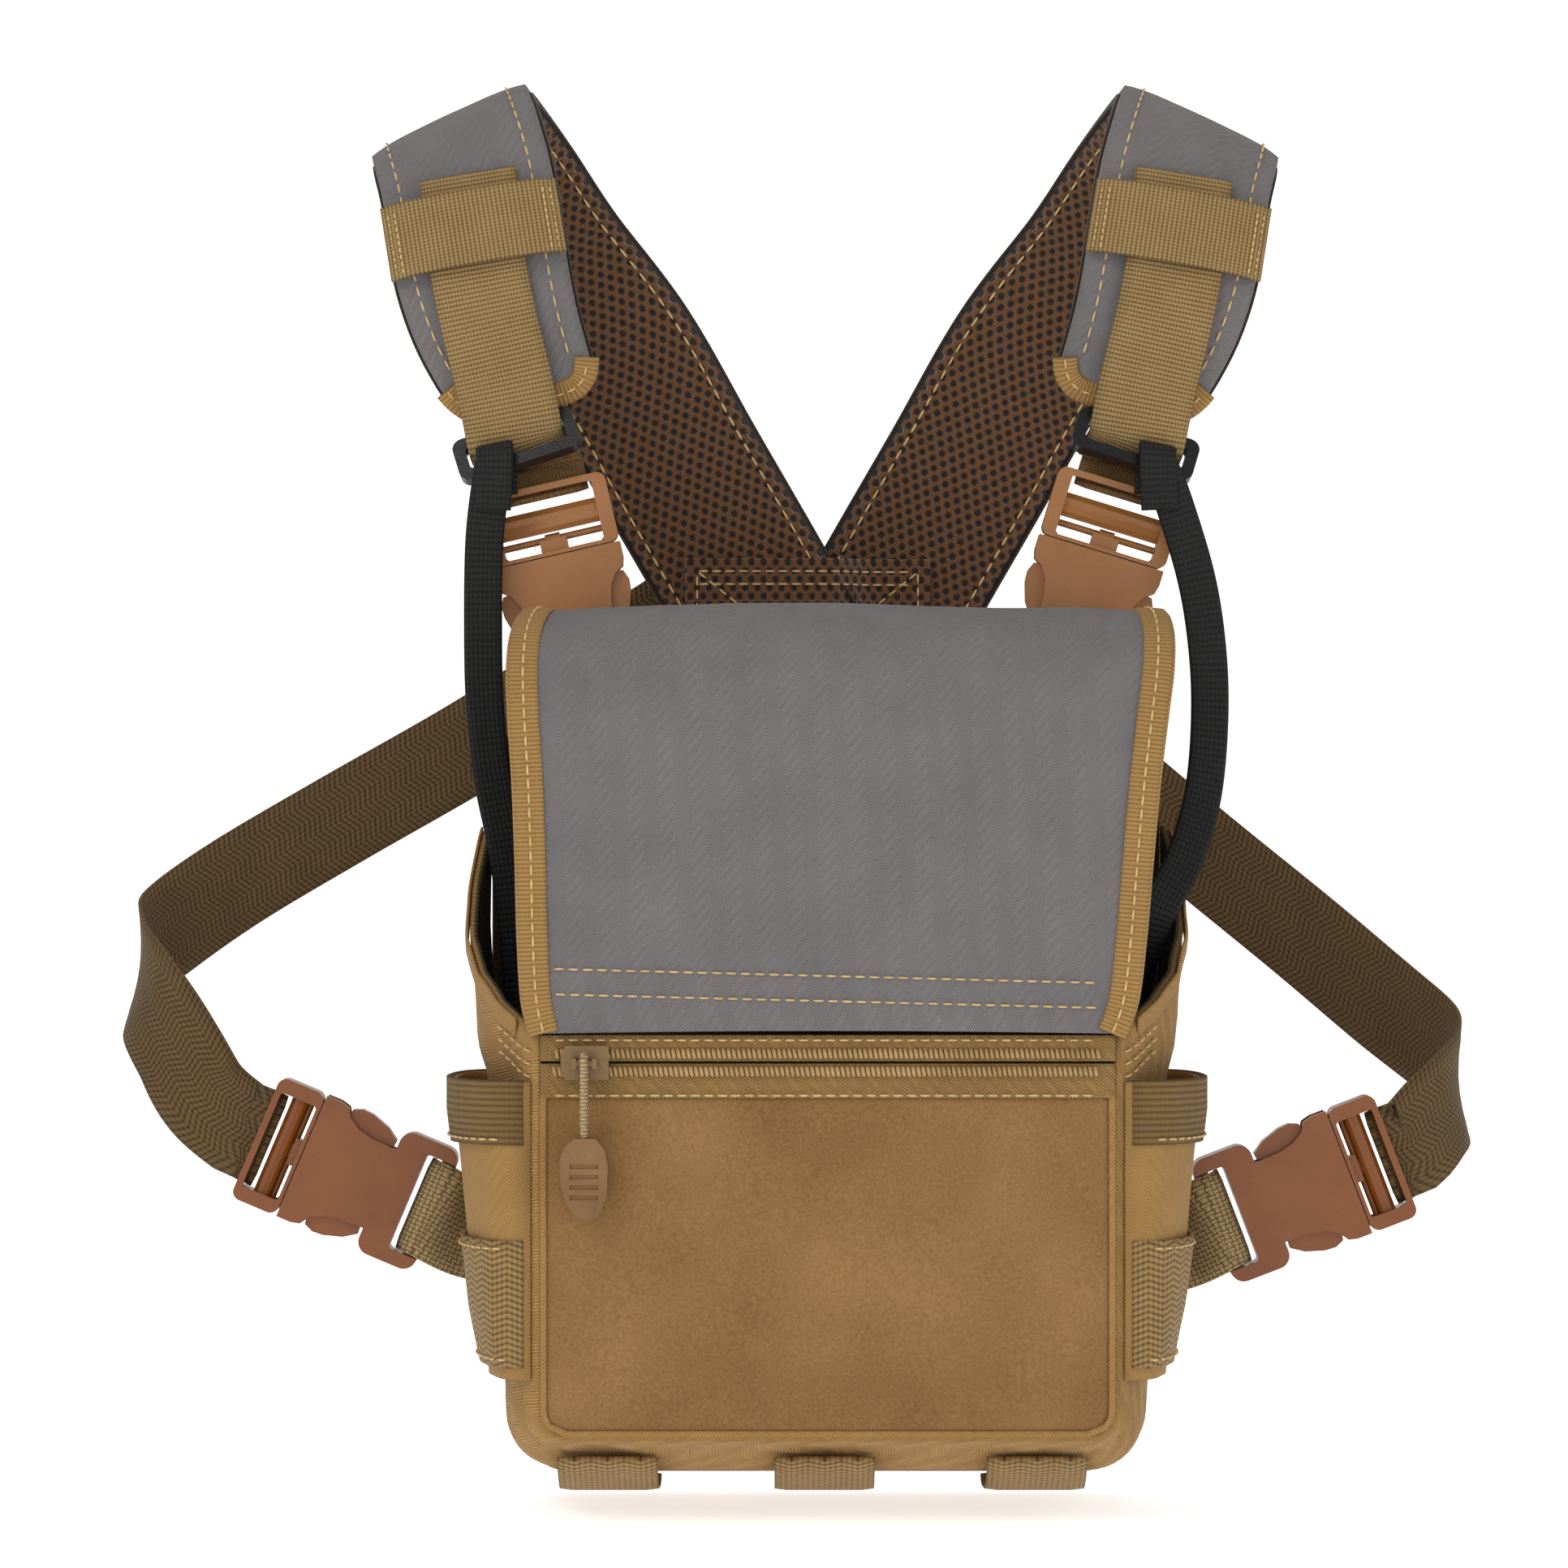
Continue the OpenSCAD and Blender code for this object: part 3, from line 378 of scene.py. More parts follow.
def perforated(name, dark, light):
    """Spacer mesh: a knitted face with long holes in offset rows."""
    s = Shader(name, 0.9, 0.3)
    u, v, _ = s.axes()
    row = s.math("DIVIDE", v, HOLE_ALONG / 2)
    shift = s.math("MULTIPLY", s.math("MODULO", s.math("ABSOLUTE", s.math("FLOOR", row)), 2.0), 0.5)
    cell_u = s.math("SUBTRACT", s.math("FRACT", s.math("ADD", s.math("DIVIDE", u, HOLE_ACROSS), shift)),
                    0.5)
    cell_v = s.math("SUBTRACT", s.math("FRACT", row), 0.5)
    far = s.math("ADD", s.math("POWER", s.math("DIVIDE", cell_u, 0.27), 2.0),
                 s.math("POWER", s.math("DIVIDE", cell_v, 0.44), 2.0))
    solid = s.math("MINIMUM", s.math("MAXIMUM", s.math("SUBTRACT", far, 0.55), 0.0), 1.0)
    yarn = s.mix(s.ridge(u, 0.0006), 0.4, s.ridge(v, 0.0007), 0.4)
    shade = s.math("MULTIPLY", solid, s.math("ADD", 0.35, yarn))
    s.colour(shade, dark, light, 0.0, 0.95)
    s.bump(s.mix(solid, 0.8, yarn, 0.25), 0.0012)
    return s.mat


HOLE_ACROSS = 0.0033
HOLE_ALONG = 0.0046

GREY = twill("grey_twill", rgb(84, 80, 80), rgb(136, 131, 131), 0.0007, 0.9, 0.004)
PACK = twill("pack_cloth", rgb(120, 86, 40), rgb(184, 144, 84), 0.0008, 0.8, 0.006)
SUEDE = brushed("pocket_face", rgb(112, 80, 42), rgb(160, 123, 78))
BINDING = ribbed("grosgrain", rgb(126, 92, 44), rgb(186, 146, 84), 0.0011, 0.00035, 0.0003)
TAN_WEB = ribbed("tan_webbing", rgb(84, 62, 30), rgb(170, 140, 88), 0.0012, 0.0009, 0.0003)
FINE_WEB = woven("fine_webbing", rgb(84, 60, 28), rgb(140, 106, 62), 0.0009, 0.0007)
WAIST_WEB = ribbed("waist_webbing", rgb(44, 32, 12), rgb(112, 86, 46), 0.0016, 0.0012, wavy=0.5)
STUB_WEB = woven("stub_webbing", rgb(62, 48, 26), rgb(176, 150, 104), 0.0012, 0.0014)
ELASTIC = ribbed("elastic", rgb(78, 58, 26), rgb(140, 110, 62), 0.0016, 0.0006, 0.0005)
BAND = ribbed("side_band", rgb(76, 56, 26), rgb(168, 136, 84), 0.0016, 0.0014, wavy=0.3)
BLACK_WEB = ribbed("black_webbing", rgb(4, 4, 4), rgb(34, 33, 32), 0.0016, 0.0012, sheen=0.02)
PAD_EDGE = ribbed("pad_edge", rgb(34, 26, 18), rgb(72, 56, 38), 0.0012, 0.0009, 0.0002)
MESH_DARK = brushed("spacer_mesh_back", rgb(14, 9, 5), rgb(32, 20, 10))
LINING = woven("lining", rgb(42, 36, 20), rgb(84, 70, 40), 0.0006, 0.0006)
BUCKLE = moulded("waist_buckle", rgb(118, 62, 14), rgb(136, 76, 22))
BUCKLE_PALE = moulded("shoulder_buckle", rgb(150, 96, 44), rgb(166, 110, 56), 0.42)
BLACK = moulded("black_plastic", rgb(12, 12, 13), rgb(26, 26, 28), 0.3)
ZIP_TAPE = twill("zip_tape", rgb(112, 82, 40), rgb(176, 138, 82), 0.0009, 1.0, 0.0025, 0.0004)
COIL = moulded("zip_coil", rgb(150, 120, 72), rgb(188, 156, 104), 0.5)
SLIDER = moulded("zip_slider", rgb(110, 84, 42), rgb(136, 104, 56), 0.4)
TAB = moulded("zip_tab", rgb(108, 76, 38), rgb(134, 98, 54), 0.55, 0.0001)
PULL_CORD = woven("pull_cord", rgb(100, 74, 44), rgb(216, 186, 140), 0.0008, 0.0009, 0.0004)
THREAD = moulded("thread", rgb(196, 164, 108), rgb(222, 192, 136), 0.7, 0.00002, 0.2)
DARK_THREAD = moulded("dark_thread", rgb(20, 20, 20), rgb(40, 40, 40), 0.7, 0.00002, 0.2)
STEEL = moulded("magnet", rgb(170, 170, 172), rgb(190, 190, 192), 0.3)
BACKING = moulded("board", rgb(20, 20, 20), rgb(34, 34, 34), 0.6)
HOLED = perforated("spacer_mesh_face", rgb(34, 18, 8), rgb(122, 78, 38))

# ---- meshes


def new_piece(name, verts, faces, mat, uvs=None):
    """A mesh object; uvs holds one (u, v) in metres for each vertex."""
    mesh = bpy.data.meshes.new(name)
    mesh.from_pydata([tuple(v) for v in verts], [], faces)
    if uvs:
        layer = mesh.uv_layers.new(name="cloth")
        for loop in mesh.loops:
            layer.data[loop.index].uv = uvs[loop.vertex_index]
    mesh.polygons.foreach_set("use_smooth", [True] * len(mesh.polygons))
    mesh.validate()
    work = bmesh.new()
    work.from_mesh(mesh)
    bmesh.ops.recalc_face_normals(work, faces=work.faces)
    work.to_mesh(mesh)
    work.free()
    mesh.materials.append(mat)
    piece = bpy.data.objects.new(name, mesh)
    bpy.context.collection.objects.link(piece)
    return piece


def dress(piece, node=None, slot=None, body=None):
    """Ties a piece to its body, the CAD node it stands for and its material slot."""
    if body:
        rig.ride(piece, body)
    if node:
        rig.replaces(piece, node)
    if slot:
        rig.slot(piece, slot)
    return piece


def mm(x, y, z):
    """A point given in millimetres."""
    return Vector((x, y, z)) * MM


def lattice(rows, cols, at):
    """Grid of points at(down, across), both shares from 0 to 1."""
    return [[at(i / rows, j / cols) for j in range(cols + 1)] for i in range(rows + 1)]


def lengths(path):
    """Distance along a path to each of its points."""
    run = [0.0]
    for a, b in zip(path, path[1:]):
        run.append(run[-1] + (b - a).length)
    return run


def heading(path, i):
    return (path[min(i + 1, len(path) - 1)] - path[max(i - 1, 0)]).normalized()


def circle(centre, a, b, radius, count=8):
    """Points round a centre, in the plane of two directions."""
    turns = [math.tau * q / count for q in range(count)]
    return [centre + (a * math.cos(t) + b * math.sin(t)) * radius for t in turns]


def per_point(normals, path):
    """One normal for each point of a path, given a list or a single direction."""
    return [normals] * len(path) if isinstance(normals, Vector) else normals


class Parts:
    """Collects many small solids into one piece."""

    def __init__(self):
        self.verts, self.faces, self.uvs = [], [], []

    def add(self, verts, faces, uvs=None):
        base = len(self.verts)
        self.verts += verts
        self.faces += [tuple(base + i for i in face) for face in faces]
        self.uvs += uvs or [(0.0, 0.0)] * len(verts)

    def rings(self, rings, uvs=None):
        """Closed tube through rings of points that all have the same length."""
        count = len(rings[0])
        verts = [p for ring in rings for p in ring]
        faces = [(i * count + j, i * count + (j + 1) % count, (i + 1) * count + (j + 1) % count,
                  (i + 1) * count + j) for i in range(len(rings) - 1) for j in range(count)]
        faces += [tuple(range(count)), tuple(range((len(rings) - 1) * count, len(verts)))]
        self.add(verts, faces, uvs)

    def make(self, name, mat):
        return new_piece(name, self.verts, self.faces, mat, self.uvs)


def spline(points, steps):
    """Smooth curve through lists of numbers, with steps between neighbours."""
    out = []
    last = len(points) - 1
    for i in range(last):
        a, b, c, d = (points[max(i - 1, 0)], points[i], points[i + 1], points[min(i + 2, last)])
        for k in range(steps):
            t = k / steps
            out.append([0.5 * (2 * q + (r - p) * t + (2 * p - 5 * q + 4 * r - s) * t * t
                               + (3 * q - p - 3 * r + s) * t ** 3)
                        for p, q, r, s in zip(a, b, c, d)])
    return out + [list(points[-1])]


class Ribbon:
    """A strap's path: centre, width direction and outward normal at any length, in metres."""

    def __init__(self, route, steps=8):
        fine = spline(route, steps)
        self.centre = [Vector(p[:3]) * MM for p in fine]
        self.length = lengths(self.centre)
        self.frames = []
        for i, p in enumerate(fine):
            along = heading(self.centre, i)
            width = Vector(p[3:6])
            width = (width - width.dot(along) * along).normalized()
            self.frames.append((width, width.cross(along)))
        self.total = self.length[-1]

    def at(self, s):
        s = min(max(s, 0.0), self.total)
        i = next((k for k in range(len(self.length) - 1) if self.length[k + 1] >= s), 0)
        f = (s - self.length[i]) / max(self.length[i + 1] - self.length[i], 1e-9)
        width = self.frames[i][0].lerp(self.frames[i + 1][0], f).normalized()
        normal = self.frames[i][1].lerp(self.frames[i + 1][1], f).normalized()
        return self.centre[i].lerp(self.centre[i + 1], f), width, normal

    def point(self, x, s, h):
        centre, width, normal = self.at(s)
        return centre + width * x + normal * h

    def steps(self, start, end, spacing):
        count = max(int(round((end - start) / spacing)), 1)
        return [start + (end - start) * k / count for k in range(count + 1)]


def sweep(ribbon, section, start=0.0, end=None, spacing=0.003, parts=None):
    """Solid along a ribbon; section(s) lists (across, height) points in turn round it."""
    end = ribbon.total if end is None else end
    stations = ribbon.steps(start, end, spacing)
    rings, uvs = [], []
    for s in stations:
        ring = section(s)
        rings.append([ribbon.point(x, s, h) for x, h in ring])
        uvs += [(x, s) for x, _ in ring]
    parts = parts or Parts()
    parts.rings(rings, uvs)
    return parts


def flat_section(width, low, high, crown=0.0, cols=8, round_off=0.0004):
    """Cross-section of a webbing, with rounded selvedges."""
    half = width / 2
    top = [(-half + width * k / cols, high + crown * (1 - (2 * k / cols - 1) ** 2)
            - (round_off if k in (0, cols) else 0)) for k in range(cols + 1)]
    under = [(half - width * k / cols, low + crown * (1 - (2 * k / cols - 1) ** 2)
              + (round_off if k in (0, cols) else 0)) for k in range(cols + 1)]
    return top + under


DASH = ((0, 0.35, -0.4), (0.18, 0.9, 0.3), (0.5, 1, 0.55), (0.82, 0.9, 0.3), (1, 0.35, -0.4))
BAR_TACK = {"pitch": 0.0026, "dash": 0.0019}


def stitches(path, normals, pitch=0.0034, dash=0.0024, radius=0.00036, parts=None):
    """Thread dashes laid along a path of points on a surface."""
    parts = parts or Parts()
    normals = per_point(normals, path)
    run = lengths(path)

    def where(s):
        i = next((k for k in range(len(path) - 1) if run[k + 1] >= s), len(path) - 2)
        f = (s - run[i]) / max(run[i + 1] - run[i], 1e-9)
        return path[i].lerp(path[i + 1], f), normals[i].lerp(normals[i + 1], f)

    for k in range(int(run[-1] / pitch)):
        s = (k + 0.5) * pitch
        a, na = where(s - dash / 2)
        b, nb = where(min(s + dash / 2, run[-1]))
        along = (b - a).normalized()
        up = (na + nb).normalized()
        side = along.cross(up).normalized()
        parts.rings([circle(a.lerp(b, f) + up * radius * lift, side, up, radius * r, 6)
                     for f, r, lift in DASH])
    return parts


def seam_on(ribbon, x, height, start, end, parts):
    """A row of stitches along a ribbon, x from its middle."""
    spots = ribbon.steps(start, end, 0.002)
    return stitches([ribbon.point(x, s, height) for s in spots],
                    [ribbon.at(s)[2] for s in spots], parts=parts)


def seam_across(ribbon, s, height, half, parts, **look):
    """A row of stitches across a ribbon."""
    path = [ribbon.point(-half + 2 * half * k / 12, s, height) for k in range(13)]
    return stitches(path, ribbon.at(s)[2], parts=parts, **look)


def round_box(left, bottom, right, top, radius, steps=6):
    points = []
    for x, y, turn in ((right - radius, bottom + radius, -90), (right - radius, top - radius, 0),
                       (left + radius, top - radius, 90), (left + radius, bottom + radius, 180)):
        points += [(x + radius * math.cos(math.radians(turn + 90 * k / steps)),
                    y + radius * math.sin(math.radians(turn + 90 * k / steps)))
                   for k in range(steps + 1)]
    return points


def shell(name, outer, inner, mat, ride="root"):
    """Closed sheet between two grids of points, with texture axes in metres."""
    rows, cols = len(outer), len(outer[0])
    along = lengths([row[cols // 2] for row in outer])
    verts, uvs, faces = [], [], []
    for grid in (outer, inner):
        for i, row in enumerate(grid):
            verts += row
            uvs += [(run, along[i]) for run in lengths(row)]
    size = rows * cols
    for i in range(rows - 1):
        for j in range(cols - 1):
            a = i * cols + j
            faces.append((a, a + 1, a + cols + 1, a + cols))
            faces.append((size + a, size + a + cols, size + a + cols + 1, size + a + 1))
    for i in range(rows - 1):
        for j in (0, cols - 1):
            a, b = i * cols + j, (i + 1) * cols + j
            faces.append((a, b, size + b, size + a) if j == 0 else (a, size + a, size + b, b))
    for j in range(cols - 1):
        for i in (0, rows - 1):
            a, b = i * cols + j, i * cols + j + 1
            faces.append((a, size + a, size + b, b) if i == 0 else (a, b, size + b, size + a))
    return dress(new_piece(name, verts, faces, mat, uvs), body=ride)


def thread(parts, name, body="root", mat=THREAD):
    return dress(parts.make(name, mat), body=body)


# ---- cloth on grids


def look(x, table):
    """The value at x in rows of (x, value), straight between them."""
    if x <= table[0][0]:
        return table[0][1]
    for (a, p), (b, q) in zip(table, table[1:]):
        if x <= b:
            return p + (q - p) * (x - a) / (b - a)
    return table[-1][1]


def facing(grid):
    """Unit normals of a grid of points."""
    rows, cols = len(grid), len(grid[0])
    out = []
    for i in range(rows):
        row = []
        for j in range(cols):
            down = grid[min(i + 1, rows - 1)][j] - grid[max(i - 1, 0)][j]
            side = grid[i][min(j + 1, cols - 1)] - grid[i][max(j - 1, 0)]
            row.append(down.cross(side).normalized())
        out.append(row)
    return out


def moved(grid, field):
    """The grid moved along its normals by field(i, j, point) metres."""
    faces = facing(grid)
    return [[p + faces[i][j] * field(i, j, p) for j, p in enumerate(row)]
            for i, row in enumerate(grid)]


def ripple(point, scale, amount, seed=0.0, stretch=(1, 1, 1)):
    """Soft unevenness of cloth at a point, between -amount and amount."""
    p = Vector((point.x * stretch[0], point.y * stretch[1], point.z * stretch[2])) * scale
    return amount * noise.noise(p + Vector((seed, seed * 0.7, -seed)))


def cloth(name, grid, thick, mat, body="root", out=1, folds=None):
    """A sheet that lies with its outer face on the grid, out being the side its normals face."""
    outer = moved(grid, folds) if folds else grid
    inner = moved(outer, lambda i, j, p: -out * thick)
    return shell(name, outer, inner, mat, body), outer


TAPE_SECTION = ((-0.5, 0), (-0.47, 0.8), (-0.3, 1.0), (0, 1.05), (0.3, 1.0), (0.47, 0.8),
                (0.5, 0), (0, -0.05))


def edge_tape(name, path, normals, width, thick, mat, body="root"):
    """A tape laid along a path on a surface, its own thickness above it."""
    rings, uvs = [], []
    for i, (p, n, run) in enumerate(zip(path, per_point(normals, path), lengths(path))):
        side = heading(path, i).cross(n).normalized()
        rings.append([p + side * (x * width) + n * (h * thick) for x, h in TAPE_SECTION])
        uvs += [(x * width, run) for x, _ in TAPE_SECTION]
    parts = Parts()
    parts.rings(rings, uvs)
    return dress(parts.make(name, mat), body=body)


# ---- body

BODY = [(-75, 73, -97, 5, 8), (-71, 77, -99, 8, 9), (-62, 83, -103, 13, 11),
        (-52, 88, -107, 20, 13), (-40, 90.5, -108.5, 29, 15), (-28, 91, -110, 41, 15),
        (-18, 90, -111, 50, 15), (-9.3, 88.5, -112, 57, 14)]
TAPER = [(-112, 0.90), (-80, 0.92), (-50, 0.935), (-20, 0.955), (-7, 0.965), (0, 0.99), (10, 1),
         (30, 1.015), (60, 1.01)]
FRONT_Y = -75
FORWARD = Vector((0, -1, 0))


def body_size(y):
    """Half width, lower edge, top edge and corner radius of the body at a depth, in mm."""
    return [look(y, [(s[0], s[k]) for s in BODY]) for k in (1, 2, 3, 4)]


def narrowing(y, z):
    share = min(max((y + 71) / 9, 0), 1)
    return 1 + (look(z, TAPER) - 1) * share


def wall_half(y, side, rows=30, bend=10, floor=12):
    half, low, top, radius = body_size(y)
    z1 = low + radius
    heights = [top + (z1 - top) * k / rows for k in range(rows + 1)]
    points = [(half * narrowing(y, z), z) for z in heights]
    x1 = half * narrowing(y, z1) - radius
    for k in range(1, bend + 1):
        a = math.pi / 2 * k / bend
        points.append((x1 + radius * math.cos(a), z1 - radius * math.sin(a)))
    points += [(x1 * (1 - k / floor), low) for k in range(1, floor + 1)]
    return [mm(side * x, y, z) for x, z in points]


def wall_row(y):
    left, right = wall_half(y, -1), wall_half(y, 1)
    return left + right[-2::-1]


def body_folds(i, j, p):
    """Slack of the gusset, with pinched folds at the lower front corners and the wings' ends."""
    y, z = p.y / MM, p.z / MM
    free = min(1.0, max(0.0, (y + 74) / 6)) * min(1.0, max(0.0, (-10 - y) / 8))
    soft = ripple(p, 34, 0.0011, 3.0) + ripple(p, 90, 0.0004, 8.0)
    low_corner = math.exp(-((z + 96) / 14) ** 2) * math.exp(-((y + 66) / 9) ** 2)
    pinch = 0.0012 * low_corner * math.sin((abs(p.x) / MM - 60) * 0.75 + y * 0.4)
    return -abs(soft) * free - abs(pinch) * free


def make_body():
    depths = [-75 + 65.7 * (k / 34) for k in range(35)]
    grid = [wall_row(y) for y in depths]
    piece, outer = cloth("gusset", grid, 0.0012, PACK, folds=body_folds)
    dress(piece, "body_shell", "pack_cloth")
    lining = shell("gusset_lining", moved(outer, lambda i, j, p: -0.00125),
                   moved(outer, lambda i, j, p: -0.0019), LINING)
    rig.slot(lining, "lining")
    return outer


def make_wing_hems(outer):
    """Folded hems along the wings' top edges, and the darts sewn at their front corners."""
    for side, column, name in ((-1, 0, "left"), (1, -1, "right")):
        path = [row[column] + Vector((side * 0.0004, 0, -0.0026)) for row in outer[3:]]
        hem = edge_tape("wing_hem_" + name, path, Vector((side, 0, 0)), 0.0062, 0.0008, PACK)
        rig.slot(hem, "pack_cloth")
        darts = Parts()
        for drop in (0, 3.2, 6.4):
            line = []
            for k in range(15):
                y, z = -74 + 15 * k / 14, 0.5 - drop + 7.5 * k / 14
                line.append(mm(side * (wall_x(y, z) + 0.7), y, z))
            away = Vector((side, -0.7, 0)).normalized()
            stitches(line, away, 0.0034, 0.0025, 0.0003, darts)
        thread(darts, "wing_dart_stitching_" + name)


def make_front():
    """Brushed pocket face, softly filled, with the seam that joins it to the gusset."""
    left, right, low, high, radius = -71.6, 71.6, -95.6, -10.0, 6

    def at(down, across):
        z = high + (low - high) * down
        drop = max(0.0, low + radius - z)
        pull = radius - math.sqrt(max(radius ** 2 - drop ** 2, 0.0))
        x = (left + pull) + (right - left - 2 * pull) * across
        u, v = (x - left) / (right - left), (z - low) / (high - low)
        swell = (max(math.sin(math.pi * u), 0) * max(math.sin(math.pi * v), 0)) ** 0.5
        return mm(x, FRONT_Y + 1.0 - 1.5 * swell, z)

    def slack(i, j, p):
        inner = min(i, 45 - i, j, 60 - j, 6) / 6
        return inner * (ripple(p, 26, 0.0007, 5.0) + ripple(p, 70, 0.00025, 2.0))

    piece, outer = cloth("pocket_face", lattice(45, 60, at), 0.0012, SUEDE, folds=slack)
    dress(piece, "pocket_panel", "pocket_face")
    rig.sheet(piece, (0.1432, 0.0856), "stretched", rests_on=["front_wall"])
    side_path = [row[0] for row in outer] + outer[-1][1:-1] + [row[-1] for row in outer[::-1]]
    edge_tape("pocket_seam", side_path, FORWARD, 0.0018, 0.0008, PACK)


def make_zipper():
    """Two herringbone tapes and two rows of coil teeth."""
    for name, low, high, back in (("upper", -1.7, 4.9, 0), ("lower", -11.0, -2.3, 0.3)):
        grid = lattice(8, 90, lambda v, u: mm(-72.4 + 144.8 * u, FRONT_Y - 0.1 + back,
                                              high + (low - high) * v))
        piece, _ = cloth("zip_tape_" + name, grid, 0.0007, ZIP_TAPE,
                         folds=lambda i, j, p: ripple(p, 60, 0.00018, 4.0))
        dress(piece, "zipper_tape_" + name, "zip_tape")
    teeth = Parts()
    for sign in (-1, 1):
        for k in range(108):
            x = -68.6 + 1.27 * k + (0.6 if sign > 0 else 0)
            add_tooth(teeth, mm(x, FRONT_Y - 0.75, -2 + 2.25 * sign), sign)
    dress(teeth.make("zip_coils", COIL), slot="zip_plastic", body="root")
    rows = Parts()
    for z, y in ((-10.3, -75.6), (3.6, -75.55)):
        path = [mm(-69 + 138 * k / 60, y, z) for k in range(61)]
        stitches(path, FORWARD, 0.0034, 0.0025, 0.0003, rows)
    thread(rows, "zip_stitching")


def add_tooth(parts, middle, sign):
    """One coil link: a bent bead leaning towards the middle of the chain."""
    rings = []
    for f, r, lift in ((-1, 0.3, -0.3), (-0.75, 0.85, 0.0), (-0.2, 1.0, 0.35), (0.35, 1.0, 0.4),
                       (0.8, 0.95, 0.1), (1, 0.35, -0.3)):
        centre = middle + mm(0.25 * f * sign, -0.75 * lift, -1.35 * f * sign)
        rings.append(circle(centre, mm(0.56, 0, 0), mm(0, 0.62, 0), r))
    parts.rings(rings)


def wall_x(y, z):
    return body_size(y)[0] * narrowing(y, z)


POCKET = [(7, 96), (15, 96), (23, 95), (36, 93.6), (50, 92.2), (65, 90.3), (81, 87)]
POCKET_Y = (-74.6, -13)


def pocket_point(t, z, side, lift):
    """Outer face of a side pocket, t from its front seam to its back seam."""
    y = POCKET_Y[0] + (POCKET_Y[1] - POCKET_Y[0]) * t
    wall = wall_x(y, z) + 0.3
    swell = max(math.sin(math.pi * t), 0.0) ** 0.5
    x = wall + max(look(-z, POCKET) - 1.5 - wall, 0.2) * swell + 1.5
    return mm(side * (x + lift), y, z)


def pocket_grid(top, low, side, lift, rows):
    return lattice(rows, 36, lambda v, u: pocket_point(u, top + (low - top) * v, side, lift))


def make_side_pockets():
    for side, name in ((-1, "left"), (1, "right")):
        def gather(i, j, p):
            z = p.z / MM
            near = math.exp(-((z + 26) / 14) ** 2)
            wave = 0.0006 * near * math.sin(p.y / MM * 0.9 + side)
            return -side * (abs(wave) + 0.4 * abs(ripple(p, 55, 0.0009, 6.0 + side)))

        piece, _ = cloth("side_pocket_cloth_" + name, pocket_grid(-7, -82, side, -0.2, 48), 0.0011,
                         PACK, out=side, folds=gather)
        dress(piece, "side_pocket_" + name, "pack_cloth")
        mouth, _ = cloth("mouth_elastic_" + name, pocket_grid(-6.6, -23, side, 1.6, 14), 0.0014,
                         ELASTIC, out=side,
                         folds=lambda i, j, p: -side * 0.00035 * abs(math.sin(p.y / MM * 1.1)))
        dress(mouth, "pocket_band_" + name, "elastic")
        band, _ = cloth("side_webbing_" + name, pocket_grid(-47, -79, side, 1.5, 18), 0.0013, BAND,
                        out=side, folds=lambda i, j, p: ripple(p, 50, 0.0003, 1.0))
        dress(band, "side_bands" if side > 0 else None, "elastic")
        rows = Parts()
        for z, lift in ((-21.5, 1.75), (-49, 1.75), (-77, 1.75)):
            path = [pocket_point(0.02 + 0.96 * k / 40, z, side, lift) for k in range(41)]
            away = [Vector((side, -0.6 if k < 12 else 0, 0)).normalized() for k in range(41)]
            stitches(path, away, 0.0032, 0.0023, 0.0003, rows)
        thread(rows, "side_stitching_" + name)


def make_loops():
    route = [(0, -66, -103.2), (0, -62, -106.8), (0, -50, -112.2), (0, -35, -114),
             (0, -20, -114.8), (0, -13, -113.6)]
    parts, sewn = Parts(), Parts()
    for x in (-55.7, -0.7, 53.1):
        strap = Ribbon([(x, y, z, 1, 0, 0) for _, y, z in route])
        sweep(strap, lambda s: flat_section(0.0254, 0.0001, 0.0016), spacing=0.002, parts=parts)
        for s in (0.003, 0.006, strap.total - 0.003):
            seam_across(strap, s, 0.0017, 0.0115, sewn, **BAR_TACK)
    dress(parts.make("bottom_webbing", BAND), "bottom_loops", "elastic", "root")
    thread(sewn, "bottom_webbing_stitching")


def make_inner_wall():
    grid = lattice(30, 40, lambda v, u: mm(-73 + 146 * u, -71.2, 3.6 - 98 * v))
    piece, _ = cloth("compartment_front", grid, 0.0013, LINING,
                     folds=lambda i, j, p: ripple(p, 40, 0.0005, 9.0))
    dress(piece, "front_wall", "lining")


make_wing_hems(make_body())
make_front()
make_zipper()
make_side_pockets()
make_loops()
make_inner_wall()

# ---- lid

LID = [(-76.5, 6, 74.5), (-76.5, 15, 77), (-76.5, 32, 78.5), (-76.2, 50, 79.5), (-75.5, 70, 80.8),
       (-74.5, 88, 82.5), (-71.5, 99, 83.5), (-65.5, 107.5, 83.5), (-56, 112.5, 82.5),
       (-46, 114, 81), (-34, 111.5, 79.5), (-23, 106.5, 78), (-15, 101.5, 77), (-12, 95, 76.5),
       (-12, 82, 76), (-12, 61, 75)]
LID_STEPS = 10
LID_CURVE = spline(LID, LID_STEPS)
LID_END = len(LID) - 1
LID_LEAN = 4.2      # how far the lid's fold sits askew, to the right of its lower edge


